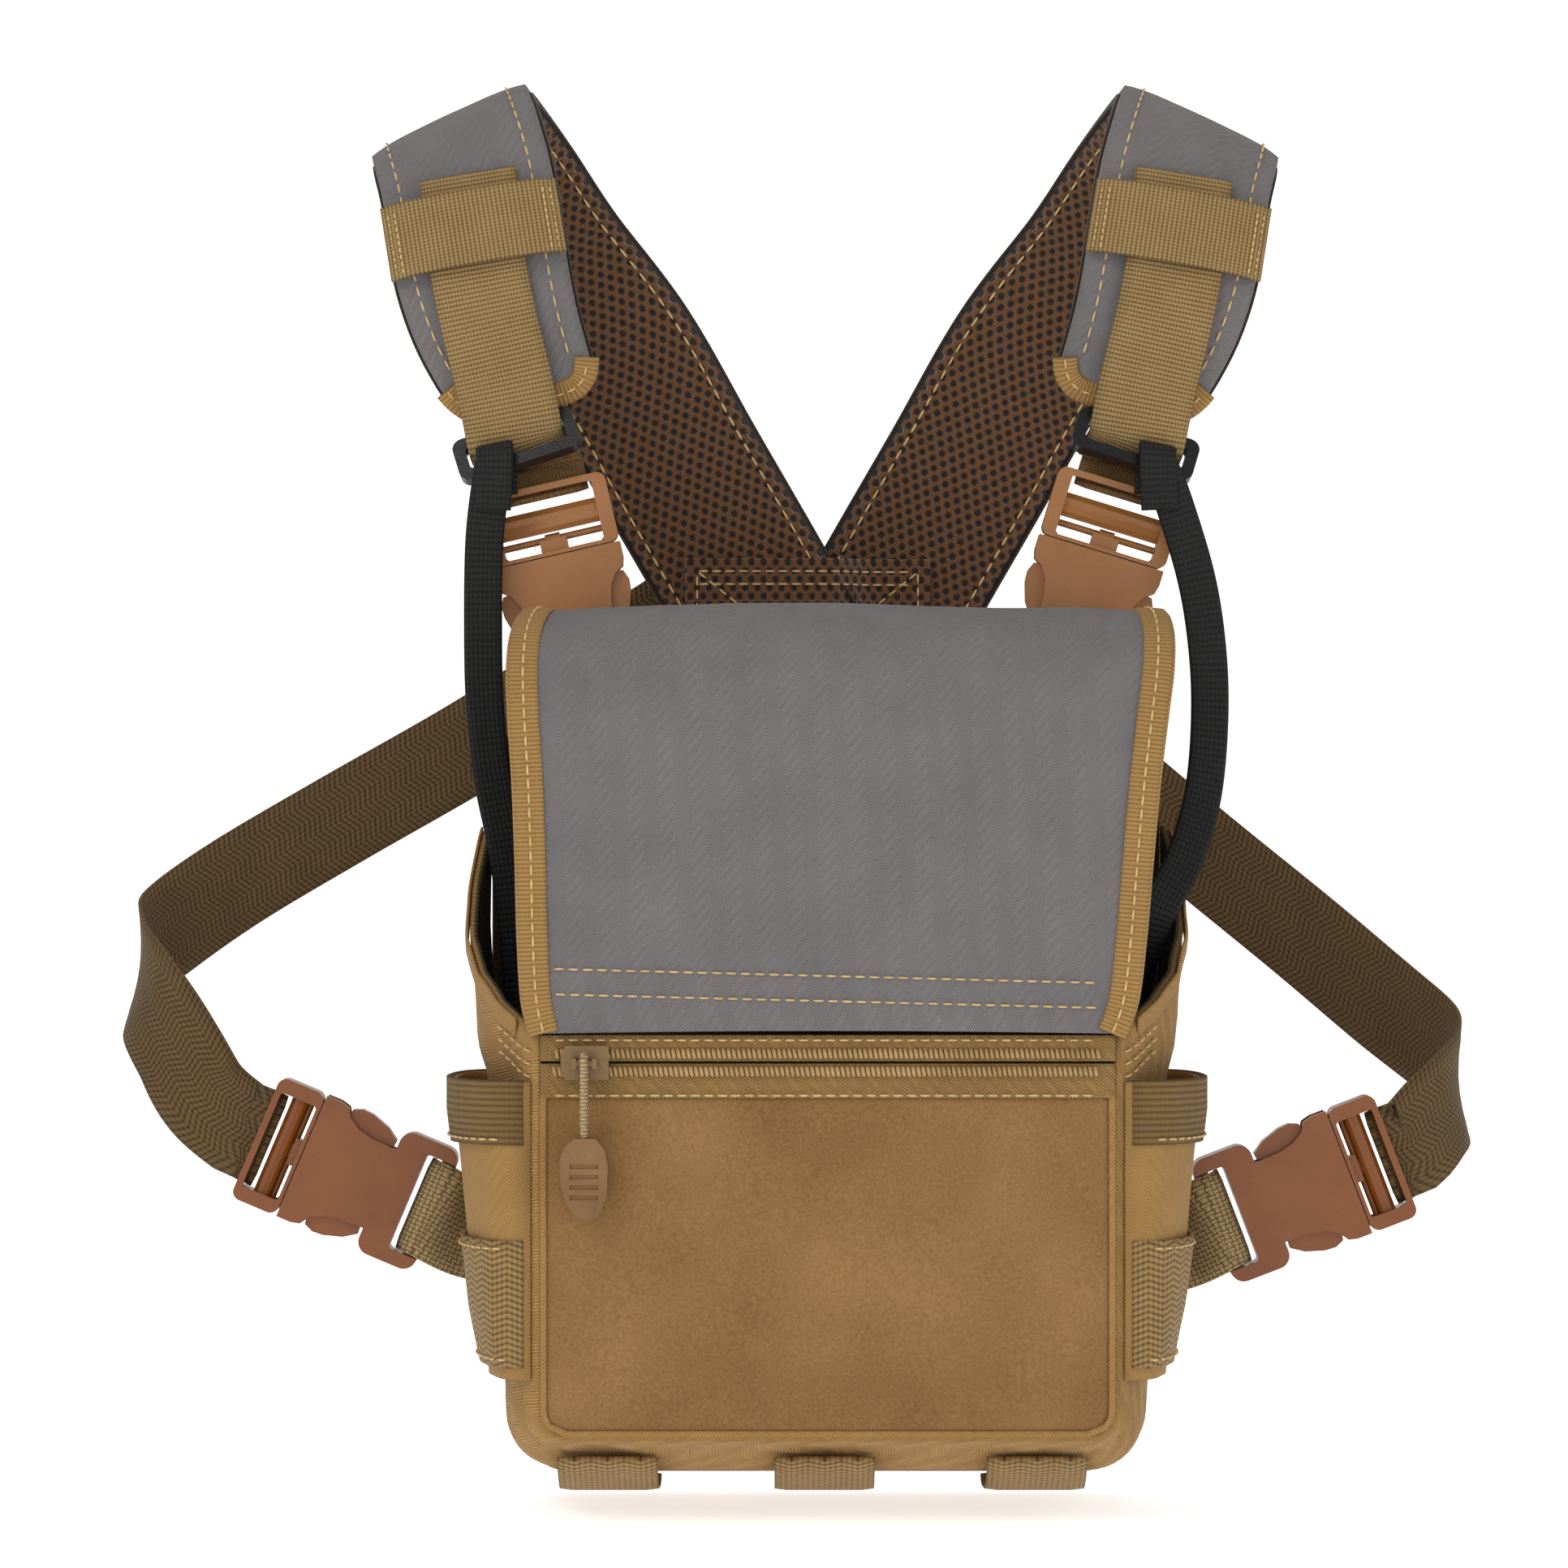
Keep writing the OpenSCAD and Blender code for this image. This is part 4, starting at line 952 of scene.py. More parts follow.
def lid_point(f, g, depth=0.0):
    """Point of the lid, f across it from -1 to 1, g along its profile from 0 to LID_END, in metres."""
    at = min(max(g * LID_STEPS, 0), len(LID_CURVE) - 1.001)
    i = int(at)
    a, b = LID_CURVE[i], LID_CURVE[i + 1]
    y, z, half = (p + (q - p) * (at - i) for p, q in zip(a, b))
    before, after = LID_CURVE[max(i - 1, 0)], LID_CURVE[min(i + 2, len(LID_CURVE) - 1)]
    along = Vector((0, after[0] - before[0], after[1] - before[1])).normalized()
    drop = 2.5 * f * f * min(0.3 + g * 2 / 11, 1)
    lean = LID_LEAN * min(g / 8, 1)
    return mm(half * f + lean, y + along.z * depth, z - along.y * depth - drop)


def lid_out(g):
    a, b = lid_point(0, max(g - 0.2, 0)), lid_point(0, min(g + 0.2, 14.9))
    along = (b - a).normalized()
    return Vector((0, -along.z, along.y))


def lid_slack(p):
    """Soft waves of the lid's fabric, more on the top than on the front."""
    rise = min(max((p.z - 0.06) / 0.05, 0), 1)
    wave = ripple(p, 17, 0.0009 + 0.0012 * rise, 11.0) + ripple(p, 48, 0.0005, 14.0)
    edge = min(abs(abs(p.x) - 0.081) / 0.012, 1.0)
    return -abs(wave) * (0.3 + 0.7 * edge) + 0.0006


def make_lid():
    grid = lattice(210, 72, lambda v, u: lid_point(-1 + 2 * u, LID_END * v))
    skin, _ = cloth("lid_cloth", grid, 0.0011, GREY, "lid", out=-1,
                    folds=lambda i, j, p: -lid_slack(p))
    dress(skin, "lid_panel", "lid_cloth")
    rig.sheet(skin, (0.160, 0.2245), "stretched", rests_on=["lid_board"])
    inside = lattice(110, 40, lambda v, u: lid_point((-1 + 2 * u) * 0.985, LID_END * v, 3.3))
    lining, _ = cloth("lid_lining", inside, 0.0008, LINING, "lid", out=-1,
                      folds=lambda i, j, p: ripple(p, 40, 0.0002, 3.0))
    dress(lining, "lid_liner", "lining")


def make_lid_trim():
    """Bound edges with their stitching, and two rows of stitching near the lower edge."""
    marks = [LID_END * k / 150 for k in range(151)]
    for side, name in ((-1, "left"), (1, "right")):
        path = [lid_point(side * 0.957, g, -0.55) for g in marks]
        away = [lid_out(g) for g in marks]
        tape = edge_tape("lid_edge_tape_" + name, path, away, 0.0075, 0.0008, BINDING, "lid")
        dress(tape, "lid_binding_" + name, "binding")
        rim = [lid_point(side * 1.0, g, 0.9) for g in marks]
        edge_tape("lid_edge_fold_" + name, rim, Vector((side, 0, 0)), 0.0034, 0.0008, BINDING, "lid")
        row = [p + n * 0.0009 for p, n in zip(path, away)]
        thread(stitches(row, away, 0.0036, 0.0027, 0.00032), "lid_edge_stitching_" + name, "lid")
    rows = Parts()
    for z0, z1 in ((21.6, 18.0), (15.2, 11.8)):
        path, away = [], []
        for k in range(81):
            f = -0.9 + 1.8 * k / 80
            z = z0 + (z1 - z0) * k / 80
            g = next(q / 400 for q in range(1600) if lid_point(f, q / 400).z >= z * MM)
            path.append(lid_point(f, g, -0.75))
            away.append(lid_out(g))
        stitches(path, away, 0.0036, 0.0026, 0.0003, rows)
    thread(rows, "lid_stitching", "lid")


# ---- shoulder pads

PAD = [(-81.2, -5, 165, .968, 0, .25), (-83.5, -7.5, 173, .968, 0, .25),
       (-88, -9.5, 190, .968, 0, .25), (-91.5, -8, 209, .96, 0, .28),
       (-94.5, -3, 226, .95, 0, .31), (-98, 6, 238.5, .93, 0, .37), (-99.5, 21, 243, .90, 0, .43),
       (-96, 36, 239, .89, 0, .45), (-88, 48, 228, .88, 0, .47), (-76, 54, 210, .873, 0, .487),
       (-57, 56, 185, .873, 0, .487), (-39, 56, 153.5, .873, 0, .487),
       (-21, 56, 122.3, .873, 0, .487), (-6.4, 56, 96, .873, 0, .487)]
PAD_W = 45


def mirrored(route, side, shift=0.0):
    if side == "left":
        return route
    return [(-p[0], p[1] + shift * min(max((p[1] - 4) / 52, 0), 1), *p[2:4], p[4], -p[5])
            for p in route]


def pad_sides(s, side):
    """Where a pad's long edges lie across it, rounded and narrowed towards its front end."""
    short = 0.8 * (0.009 - math.sqrt(max(0.009 ** 2 - max(0.009 - s, 0.0) ** 2, 0.0)))
    taper = 0.009 * max(1 - s / 0.042, 0.0) ** 1.6
    outer, inner = PAD_W / 2 * MM - short - taper, PAD_W / 2 * MM - short
    return (-outer, inner) if side == "left" else (-inner, outer)


def pad_layer(side, trim, low, high, round_off=0.0008):
    """Cross-sections of one flat layer of a pad."""
    def section(s):
        a, b = pad_sides(s, side)
        return [(x + (a + b) / 2, h)
                for x, h in flat_section(b - a - 2 * trim, low, high, 0, 14, round_off)]
    return section


def cover_section(side, cols=24):
    """The cover's cross-sections: crowned on top and wrapped round the foam's edges."""
    def section(s):
        a, b = pad_sides(s, side)
        middle, half = (a + b) / 2, (b - a) / 2
        dip = 0.0004 * math.sin(s * 55) + 0.0003 * math.sin(s * 131)
        top, under = [], []
        for k in range(cols + 1):
            u = -1 + 2 * k / cols
            h = 0.0042 - 0.0013 * abs(u) ** 5 - abs(dip) * (0.2 + 0.8 * abs(u))
            top.append((middle + u * half, h))
            under.append((middle + u * (half - 0.0009), h - 0.0010))
        wrap = -0.0016
        return ([(a - 0.0003, wrap)] + top + [(b + 0.0003, wrap), (b - 0.0009, wrap)]
                + under[::-1] + [(a + 0.0009, wrap)])
    return section


def make_pad(side):
    strap = Ribbon(mirrored(PAD, side, 9.0), 10)
    layers = (("cover", cover_section(side), GREY, "lid_cloth"),
              ("foam", pad_layer(side, 0.0015, -0.0021, 0.0029), MESH_DARK, "foam"),
              ("mesh", pad_layer(side, 0.0005, -0.0042, -0.0022), HOLED, "spacer_mesh"))
    for name, section, mat, slot in layers:
        piece = sweep(strap, section, spacing=0.0022).make(f"pad_{name}_{side}", mat)
        dress(piece, f"shoulder_{name}_{side}", slot, "root")
        if name == "foam":
            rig.padded(piece, 0.8)
    make_pad_trim(side, strap)
    make_adjuster(side)
    make_keeper(side, strap)


def within(x, sides, gap):
    return sides[0] + gap <= x <= sides[1] - gap


def make_pad_trim(side, strap):
    """Bound long edges, rows of stitching, and a tape round the pad's front end."""
    spots = strap.steps(0.004, strap.total, 0.003)
    for k, sign in enumerate((-1, 1)):
        path = [strap.point(pad_sides(s, side)[k] + sign * 0.0003, s, -0.0019) for s in spots]
        away = [strap.at(s)[1] * sign for s in spots]
        edge = edge_tape(f"pad_edge_{k}_{side}", path, away, 0.0036, 0.0007, PAD_EDGE)
        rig.slot(edge, "spacer_mesh")
    rows = Parts()
    sewn = strap.steps(0.012, strap.total - 0.02, 0.002)
    for k, sign in enumerate((1, -1)):
        for inset, h, out in ((0.005, 0.0038, 1), (0.004, -0.0043, -1)):
            path = [strap.point(pad_sides(s, side)[k] + sign * inset, s, h) for s in sewn]
            stitches(path, [strap.at(s)[2] * out for s in sewn], 0.0042, 0.003, 0.0003, rows)
    thread(rows, "pad_stitching_" + side)
    path = []
    for k in range(33):
        a, b = pad_sides(0.009, side)
        x = a + 0.0006 + (b - a - 0.0012) * k / 32
        s = next(q / 4000 for q in range(80) if within(x, pad_sides(q / 4000, side), 0.0004))
        path.append(strap.point(x, s + 0.0034, 0.0036))
    away = strap.at(0.004)[2]
    tape = edge_tape("pad_end_tape_" + side, path, away, 0.0066, 0.0009, BINDING)
    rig.slot(tape, "binding")
    ends = stitches([p + away * 0.001 for p in path], away, 0.0034, 0.0024, 0.0003)
    thread(ends, "pad_end_stitching_" + side)


ADJUSTER = [(-94.2, -8.4, 228, .95, 0, .31), (-92.5, -12.2, 216, .96, 0, .28),
            (-91.3, -14.2, 205, .96, 0, .28), (-88.6, -15.5, 191, .968, 0, .25),
            (-84.5, -14.8, 174, .968, 0, .25), (-82.4, -14.4, 164, .968, 0, .25),
            (-80.9, -11.9, 156.5, .968, 0, .25), (-78.2, -6.6, 152.5, .97, 0, .24)]
# Each buckle's base in mm, its turn in degrees and its whole length in mm
BUCKLES = {"shoulder_left": (-62.2, -4.75, 91, -13, 57),
           "shoulder_right": (61.3, -4.75, 92.4, 17, 57),
           "side_left": (-101.5, -18.5, -43.6, -67, 51),
           "side_right": (100.5, -18.5, -46.6, 69, 51)}
WEB = 25.4


def buckle_station(name, y, z, flip):
    """A webbing's station at y along and z out of a buckle, facing across it."""
    bx, by, bz, turn, _ = BUCKLES[name]
    a = math.radians(turn)
    return (bx + y * math.sin(a), by - z, bz + y * math.cos(a), flip * math.cos(a), 0,
            -flip * math.sin(a))


def ladder_end(name, flip):
    total = BUCKLES[name][4]
    return [buckle_station(name, total + y, z, flip) for y, z in
            ((6, -3.6), (2.4, -2), (0, -1.4), (-2.3, -1.05), (-3.2, 0.8))]


def web_section(width=WEB, thick=0.0016):
    return lambda s: flat_section(width * MM, -thick / 2, thick / 2, 0, 8, 0.0003)


def make_adjuster(side):
    route = mirrored(ADJUSTER, side) + ladder_end("shoulder_" + side, 1)
    strap = Ribbon(route, 8)
    through = next(s for s in strap.steps(0, strap.total, 0.001)
                   if strap.at(s)[0].z < 0.1552)
    tan = sweep(strap, web_section(), 0.0, through + 0.004, 0.0016).make("adjuster_" + side, TAN_WEB)
    lower = sweep(strap, web_section(WEB - 1, 0.0015), through, strap.total, 0.0016)
    brown = lower.make("adjuster_tail_" + side, FINE_WEB)
    fold = Ribbon([(*(strap.point(0, s, 0) / MM), *strap.at(s)[1]) for s in
                   (0.0, 0.003, 0.006, 0.0095)], 4)
    bar = sweep(fold, lambda s: flat_section(WEB * MM + 0.0004, -0.0006, 0.0038, 0, 8, 0.0012),
                spacing=0.0008).make("adjuster_fold_" + side, TAN_WEB)
    for piece in (tan, brown, bar):
        dress(piece, slot="tan_webbing", body="root")
    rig.replaces(tan, "adjuster_webbing_" + side)
    sewn = Parts()
    for s in (0.0015, 0.0035, 0.0055, 0.0075):
        seam_across(fold, s, 0.0039, 0.0118, sewn, pitch=0.0017, dash=0.0013, radius=0.0003)
    for s in (strap.total - 0.016, strap.total - 0.019):
        seam_across(strap, s, 0.0009, 0.0115, sewn, **BAR_TACK)
    thread(sewn, "adjuster_bartack_" + side)


def make_keeper(side, pad):
    """Band across the pad that bows over the webbing, its ends sewn to the pad's edges."""
    s0 = next(s for s in pad.steps(0, pad.total, 0.0005)
              if pad.at(s)[0].z >= 0.2117)
    centre, width, normal = pad.at(s0)
    along = normal.cross(width)
    half = PAD_W / 2 + 0.8

    def bow(x, lift):
        share = min(abs(x) / (PAD_W / 2 - 1), 1)
        rise = 3.6 * max(math.cos(math.pi / 2 * share), 0) ** 0.45
        return centre + width * (x * MM) + normal * ((4.45 + lift + rise) * MM)

    across = [half * (-1 + 2 * k / 40) for k in range(41)]
    grid = [[bow(x, 1.2 + 0.12 * math.cos(12.56 * i / 16)) + along * (-0.010 + 0.020 * i / 16)
             for x in across] for i in range(17)]
    flip = 1 if facing(grid)[8][20].dot(normal) > 0 else -1
    band, _ = cloth("keeper_band_" + side, grid, 0.0012, TAN_WEB, out=flip)
    dress(band, "keeper_" + side, "tan_webbing")
    swap_axes(band)
    sewn = Parts()
    for x in (-20.6, 20.6):
        for shift in (-0.9, 0.9):
            path = [bow(x + shift, 1.35) + along * (-0.0092 + 0.0184 * k / 12) for k in range(13)]
            stitches(path, normal, 0.0019, 0.0014, 0.0003, sewn)
    thread(sewn, "keeper_bartack_" + side)


def swap_axes(piece):
    """Turns a piece's texture by a quarter, so that its ribs run the other way."""
    for spot in piece.data.uv_layers[0].data:
        spot.uv = (spot.uv[1], spot.uv[0])


def make_crossing_patch():
    """Stitched mesh patch over the crossing, on the side that faces the pack."""
    def at(u, v, lift=0.0):
        x = -38 + 67 * u
        step = min(max((x - 2) / 12, 0), 1)
        y = 50.6 + 8.6 * step * step * (3 - 2 * step)
        return mm(x, y - lift, 129.5 - 44 * v)

    grid = lattice(30, 48, lambda v, u: at(u, v))
    flip = 1 if facing(grid)[5][5].y < 0 else -1
    patch, _ = cloth("crossing_mesh", grid, 0.0009, HOLED, out=flip)
    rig.slot(patch, "spacer_mesh")
    sewn = Parts()
    corners = [(0.05, 1), (0.05, 0.08), (0.95, 0.08), (0.95, 1)]
    lines = list(zip(corners, corners[1:])) + [((0.05, 0.16), (0.95, 0.16)),
                                               ((0.05, 0.08), (0.8, 1)), ((0.95, 0.08), (0.2, 1))]
    for (u0, v0), (u1, v1) in lines:
        path = [at(u0 + (u1 - u0) * k / 30, v0 + (v1 - v0) * k / 30, 0.2) for k in range(31)]
        stitches(path, FORWARD, 0.0036, 0.0026, 0.00028, sewn)
    thread(sewn, "crossing_stitching")


def make_yoke():
    """Stitched patch over the crossing of the two pads, on the wearer's side."""
    grid = lattice(36, 36, lambda v, u: mm(-33 + 66 * u, 72, 66 + 65 * v))

    def dome(i, j, p):
        share = min(i, 36 - i, j, 36 - j) / 6
        return -0.0012 * (1 - min(share, 1)) ** 2 + ripple(p, 60, 0.0003, 2.0)

    flip = 1 if facing(grid)[5][5].y > 0 else -1
    patch, _ = cloth("yoke_mesh", grid, 0.0020, HOLED, out=flip,
                     folds=lambda i, j, p: flip * dome(i, j, p))
    dress(patch, "yoke_patch", "spacer_mesh")
    sewn = Parts()
    a, b, c, d = (-29.5, 69.5), (29.5, 69.5), (29.5, 127.5), (-29.5, 127.5)
    for y, away in ((72.1, -FORWARD), (69.8, FORWARD)):
        for (x0, z0), (x1, z1) in ((a, b), (b, c), (c, d), (d, a), (d, b), (a, c)):
            path = [mm(x0 + (x1 - x0) * k / 20, y, z0 + (z1 - z0) * k / 20) for k in range(21)]
            stitches(path, away, 0.0036, 0.0027, 0.0003, sewn)
    thread(sewn, "yoke_stitching")
    edge = [mm(x, 71.2, z) for x, z in round_box(-33, 66, 33, 131, 3)]
    edge.append(edge[0])
    middle = mm(0, 71.2, 98.5)
    edge_tape("yoke_edge", edge, [(p - middle).normalized() for p in edge], 0.0034, 0.0006, BINDING)


# ---- straps and cords

TETHER_LEFT = [(-86.5, -18.6, 151.5, .98, 0, .2), (-88, -18, 143, 1, .05, .08),
               (-89.3, -17, 130, 1, .1, 0), (-89.6, -16.5, 110, 1, .15, 0),
               (-89.2, -16.5, 90, 1, .2, 0), (-87.2, -17, 70, 1, .3, .05),
               (-83.6, -17, 52, 1, .35, .1), (-81, -18, 34, 1, .3, .1), (-79.4, -19, 18, 1, .2, .1),
               (-78, -20, 6, 1, .1, .05), (-77.5, -20, 0.6, 1, 0, 0)]
TETHER_RIGHT = [(86.5, -18.6, 151.5, .98, 0, -.2), (90.5, -18, 142, .98, 0, -.2),
                (96.5, -18, 122, .98, 0, -.15), (99.3, -19, 104, 1, .1, -.05),
                (99.8, -22, 86, 1, .2, 0), (97.8, -27, 66, 1, .3, .1), (92.6, -34.5, 49, 1, .3, .2),
                (86, -39, 37, 1, .25, .25), (82, -37, 26, 1, .2, .2), (79, -30, 15, 1, .1, .1),
                (77.8, -23, 6, 1, 0, 0), (77.5, -20, 0.6, 1, 0, 0)]


def make_tether(side, route):
    strap = Ribbon(route, 8)
    swept = sweep(strap, web_section(10, 0.0012), spacing=0.002)
    web = dress(swept.make("tether_web_" + side, BLACK_WEB), "tether_" + side, "black_webbing",
                "root")
    sewn = Parts()
    for s in (0.011, 0.0135, 0.016):
        seam_across(strap, s, 0.0007, 0.004, sewn, pitch=0.0019, dash=0.0014, radius=0.0002)
    stitching = thread(sewn, "tether_stitching_" + side, mat=DARK_THREAD)
    loop = make_tether_loop(side, strap)
    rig.cord(web, strap.centre[0], strap.total, 0.010, "connector", "medium", "hanging",
            path=strap.centre, with_pieces=["tether_clip_" + side, stitching, loop])


def make_tether_loop(side, strap):
    """The doubled end that wraps the triglide's lower bar."""
    sign = -1 if side == "left" else 1
    top = strap.centre[0] / MM
    loop = Ribbon([(top.x + sign * x, top.y + y, top.z + z, .98, 0, -.2 * sign) for x, y, z in
                   ((-1.2, 4.4, -8), (-0.6, 5.6, -1), (0, 6.8, 1.8), (0.2, 5.4, 4.6),
                    (0.2, 1.5, 4.8), (0, -0.6, 1.6), (0, -0.4, -1), (0.5, -0.3, -12))], 6)
    swept = sweep(loop, web_section(9.6, 0.0011), spacing=0.0015)
    return dress(swept.make("tether_loop_" + side, BLACK_WEB), slot="black_webbing", body="root")


SIDE_LEFT = [(-22, 72.8, 128, -.54, 0, .84), (-34, 73.4, 119, -.54, 0, .84),
             (-62, 70, 101, -.54, 0, .84), (-96, 60, 79, -.52, 0, .85),
             (-132, 50, 58, -.46, 0, .89), (-160, 40, 41, -.38, 0, .93),
             (-177, 27, 28, -.2, 0, .97), (-181.5, 12, 20, .1, 0, 1), (-178, -1, 11, .3, 0, .95),
             (-170, -8.5, -2, .38, 0, .92), (-162.9, -11.8, -13.8, .39, 0, .92)]
SIDE_RIGHT = [(22, 72.8, 118, .54, 0, .84), (35, 73.4, 107.5, .54, 0, .84),
              (66, 68, 81, .54, 0, .84), (100, 60, 52, .52, 0, .85), (130, 48, 27, .46, 0, .89),
              (150, 36, 9.5, .38, 0, .93), (163, 22, -2, .2, 0, .97), (167, 8, -9, 0, 0, 1),
              (164.5, -4, -15, -.25, 0, .95), (159.5, -10.5, -20, -.35, 0, .93)]


def make_waist_strap(side, route):
    name = "side_" + side
    strap = Ribbon(route + ladder_end(name, 1 if side == "left" else -1), 10)
    web = sweep(strap, web_section(), spacing=0.0025).make("waist_web_" + side, WAIST_WEB)
    dress(web, "side_strap_" + side, "waist_webbing")
    sewn = Parts()
    for height in (0.0009, -0.0009):
        for x in (-0.0105, 0.0105):
            seam_on(strap, x, height, 0.001, 0.018, sewn)
        for s in (0.002, 0.017):
            seam_across(strap, s, height, 0.0105, sewn)
    thread(sewn, "waist_web_stitching_" + side)
    start = strap.at(strap.total * 0.52)[0]
    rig.blend(web, "root", "waist_plug_" + side, start, strap.at(strap.total - 0.008)[0])


def ring_wrap(name, flip):
    return [buckle_station(name, y, z, flip) for y, z in
            ((0.5, 3.5), (2.7, 3.6), (5.3, 2), (6, -1.2))]


STUBS = {"side_left": ([(-88.2, -11.2, -50, 0, 0, 1), (-94, -14, -48.3, .2, 0, .98),
                        (-99.3, -20.4, -45.2, .39, 0, .92)], 1),
         "side_right": ([(88.2, -11.2, -53, 0, 0, 1), (94, -14, -51, -.2, 0, .98),
                         (98.8, -20.4, -48, -.36, 0, .93)], -1),
         "shoulder_left": ([(-61.4, -4.75, 87.2, 1, 0, 0), (-61.6, -6.6, 88.8, 1, 0, .1)], 1),
         "shoulder_right": ([(59.8, -4.75, 87.4, 1, 0, 0), (60.2, -6.6, 89.2, 1, 0, -.15)], 1)}


def make_stubs():
    for node in ("side", "shoulder"):
        parts, sewn = Parts(), Parts()
        for side in ("left", "right"):
            start, flip = STUBS[node + "_" + side]
            strap = Ribbon(start + ring_wrap(node + "_" + side, flip), 8)
            sweep(strap, web_section(), spacing=0.0012, parts=parts)
            seam_across(strap, 0.0035, 0.0009, 0.0115, sewn, pitch=0.0024, dash=0.0018)
        stub = parts.make(node + "_stub_webbing", STUB_WEB)
        dress(stub, node + "_stubs", "waist_webbing", "root")
        thread(sewn, node + "_stub_stitching")


# ---- back panel


def back_grid(y, inset, cols=56, rows=60):
    """Rounded panel in the XZ plane as a grid of points."""
    low, high, radius = -112 + inset, 85 - inset, 14 - inset
    grid = []
    for i in range(rows + 1):
        z = high + (low - high) * i / rows
        drop = max(low + radius - z, z - (high - radius), 0.0)
        pull = radius - math.sqrt(max(radius ** 2 - min(drop, radius) ** 2, 0.0))
        half = back_half(z) - inset - pull
        grid.append([mm(half * (2 * j / cols - 1), y, z) for j in range(cols + 1)])
    return grid


def back_half(z):
    """Half width of the back panel, which narrows downwards with the gusset."""
    return min(88, 88 * (look(z, TAPER) + 0.012))


def narrowed(outline):
    return [(x * back_half(z) / 88, z) for x, z in outline]


def make_back():
    """Spacer mesh pad on the wearer's side, quilted in two panels, and the inner lining."""
    face = back_grid(-0.5, 0.3)
    back = back_grid(-5.8, 0.3)

    def quilt(i, j, p):
        x, z = abs(p.x) / MM, p.z / MM
        share = min(min(i, 60 - i, j, 56 - j) / 4, 1.0)
        groove = math.exp(-(x / 2.2) ** 2) + math.exp(-((z + 12) / 2.2) ** 2)
        return -0.0022 * (1 - share) - 0.0022 * min(groove, 1) + ripple(p, 40, 0.0003, 5.0)

    flip = 1 if facing(face)[20][20].y > 0 else -1
    face = moved(face, lambda i, j, p: flip * quilt(i, j, p))
    pad = shell("back_mesh_pad", face, back, HOLED)
    dress(pad, "back_pad", "spacer_mesh")
    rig.padded(pad, 0.7)

    def away(p):
        if abs(p.x) > 0.074 and -0.098 < p.z < 0.071:
            return Vector((math.copysign(1, p.x), 0, 0))
        return Vector((p.x * 0.2, 0, p.z + 0.0135)).normalized()

    path = [mm(x, -3.2, z) for x, z in narrowed(round_box(-88, -112, 88, 85, 14, 12))]
    path.append(path[0])
    tape = edge_tape("back_edge_tape", path, [away(p) for p in path], 0.0072, 0.0007, BINDING)
    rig.slot(tape, "binding")
    row = [mm(x, -0.6, z) for x, z in narrowed(round_box(-84, -108, 84, 81, 11, 12))]
    thread(stitches(row + row[:1], -FORWARD, 0.0036, 0.0027, 0.0003), "back_stitching")
    liner, _ = cloth("compartment_back", back_grid(-8.95, 0.6), 0.0012, LINING,
                     out=-flip, folds=lambda i, j, p: ripple(p, 45, 0.0003, 6.0) * -flip)
    dress(liner, "back_liner", "lining")
    board = shell("stiffening_board", back_grid(-6.1, 3), back_grid(-7.4, 3), BACKING)
    dress(board, "back_board", "stiff_board")


# ---- zipper pull and CAD parts


def make_pull_cord():
    """Braided cord, doubled from the tab up round the slider's bail."""
    low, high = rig.box("zipper_cord")
    x, y = (low[0] + high[0]) / 2, (low[1] + high[1]) / 2
    bend, narrow, top = 0.0021, 0.62, high[2] - 0.0031
    rise = [k / 14 for k in range(15)]
    path = [Vector((x, y - bend * (narrow + (1 - narrow) * f), low[2] + (top - low[2]) * f))
            for f in rise]
    for k in range(1, 12):
        a = math.pi * k / 12
        path.append(Vector((x, y - bend * math.cos(a), top + bend * math.sin(a))))
    path += [Vector((x, y + bend * (1 - (1 - narrow) * f), top + (low[2] - top) * f))
             for f in rise]
    parts, side = Parts(), Vector((1, 0, 0))
    for strand in range(4):
        rings, uvs = [], []
        for i, (p, run) in enumerate(zip(path, lengths(path))):
            out = heading(path, i).cross(side)
            a = math.tau * strand / 4 + run * 900
            centre = p + (side * math.cos(a) + out * math.sin(a)) * 0.00048
            rings.append(circle(centre, side, out, 0.00062))
            uvs += [(q * 0.0005, run) for q in range(8)]
        parts.rings(rings, uvs)
    dress(parts.make("pull_cord_braid", PULL_CORD), "zipper_cord", "zip_cord", "zip_pull")


def finish_node(name, mat, bevel):
    """A CAD node shown with rounded edges and its own finish."""
    node = bpy.data.objects[name]
    node.data.materials.clear()
    node.data.materials.append(mat)
    if bevel:
        rounded = node.modifiers.new("rounded", "BEVEL")
        rounded.width = bevel
        rounded.segments = 3
        rounded.limit_method = "ANGLE"
        rounded.angle_limit = math.radians(40)
        rounded.harden_normals = True


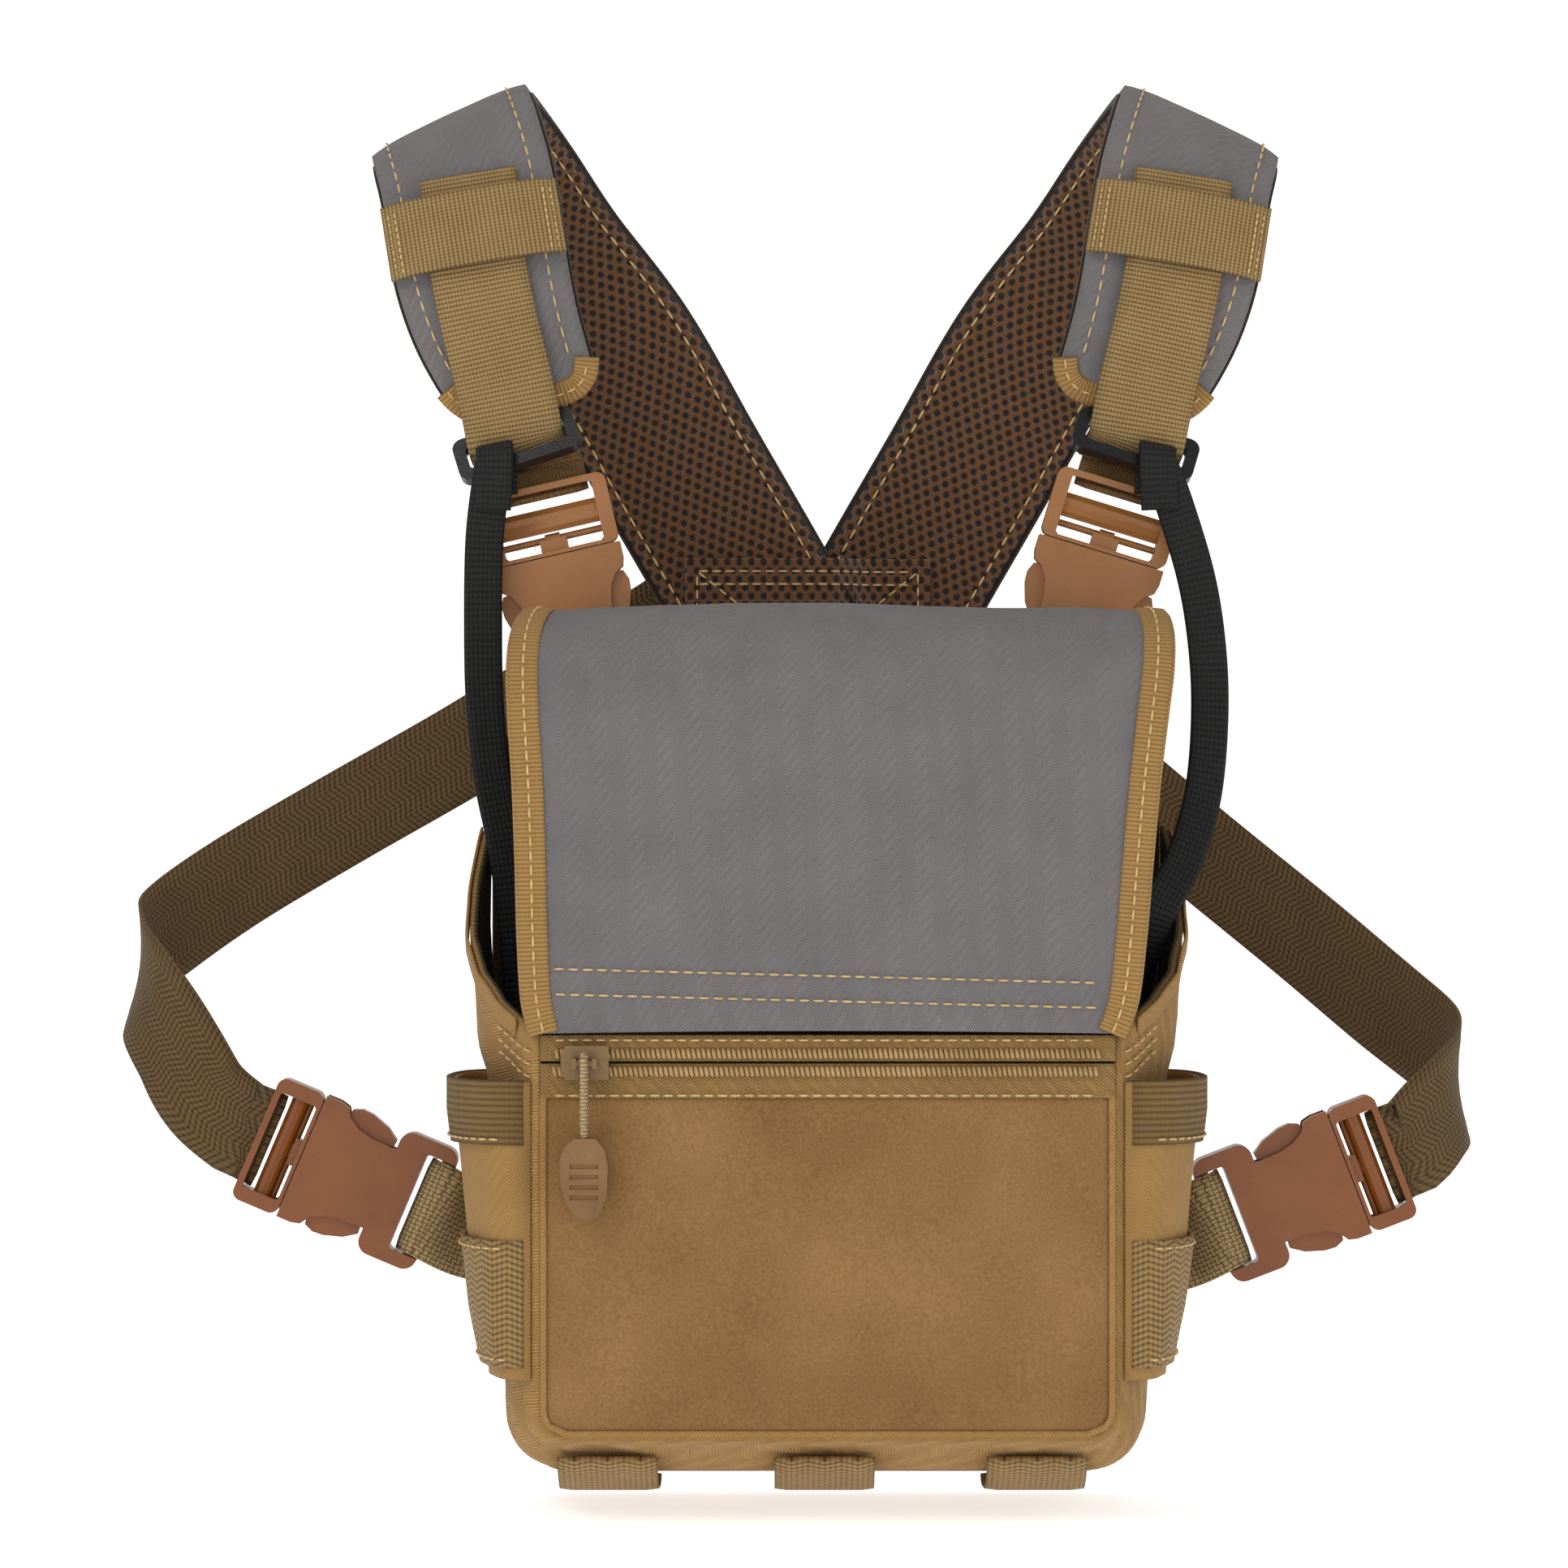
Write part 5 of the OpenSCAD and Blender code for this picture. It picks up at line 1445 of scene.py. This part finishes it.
def finish_cad():
    """Every CAD node that stays in sight."""
    for side in ("left", "right"):
        for set_name, mat, places in (("shoulder", BUCKLE_PALE, ("inner", "outer")),
                                      ("side", BUCKLE, ("upper", "lower"))):
            for kind in ("socket", "plug"):
                finish_node(f"{set_name}_{kind}_{side}", mat, 0.0007)
            for place in places:
                finish_node(f"{set_name}_prong_{place}_{side}", mat, 0.0004)
        finish_node("triglide_" + side, BLACK, 0.0009)
        finish_node("tether_clip_" + side, BLACK, 0.0006)
    finish_node("zipper_slider", SLIDER, 0.0004)
    finish_node("zipper_tab", TAB, 0.0004)
    finish_node("lid_board", BACKING, 0)
    finish_node("catch_magnets", STEEL, 0.0002)
    finish_node("lid_magnets", STEEL, 0.0002)


def make_stage():
    """Pale floor below the pack that rises behind it."""
    floor_z, rows = -0.119, 30

    def at(v, u):
        if v < 0.5:
            return Vector((-6 + 12 * u, -6 + 16.8 * v, floor_z))
        a = (v - 0.5) * math.pi
        return Vector((-6 + 12 * u, 2.4 + 0.9 * math.sin(a), floor_z + 2.0 * (1 - math.cos(a))))

    verts = [p for row in lattice(rows, 4, at) for p in row]
    faces = [(k, k + 1, k + 6, k + 5) for i in range(rows) for k in range(i * 5, i * 5 + 4)]
    pale = Shader("paper", 0.9, 0.0, 0.1)
    pale.colour(pale.noise(3), (0.9, 0.9, 0.9), (0.93, 0.93, 0.93))
    pale.bsdf.inputs["Emission Color"].default_value = (1, 1, 1, 1)
    pale.bsdf.inputs["Emission Strength"].default_value = 0.62
    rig.stage(new_piece("floor", verts, faces, pale.mat))


make_lid()
make_lid_trim()
make_pad("left")
make_pad("right")
make_yoke()
make_crossing_patch()
make_tether("left", TETHER_LEFT)
make_tether("right", TETHER_RIGHT)
make_waist_strap("left", SIDE_LEFT)
make_waist_strap("right", SIDE_RIGHT)
make_stubs()
make_back()
make_pull_cord()
finish_cad()
make_stage()

json.dump({"cad": [list(p) for p in CAD_BOX], "scene": [list(p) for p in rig.bounds()]},
          open("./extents.json", "w"))
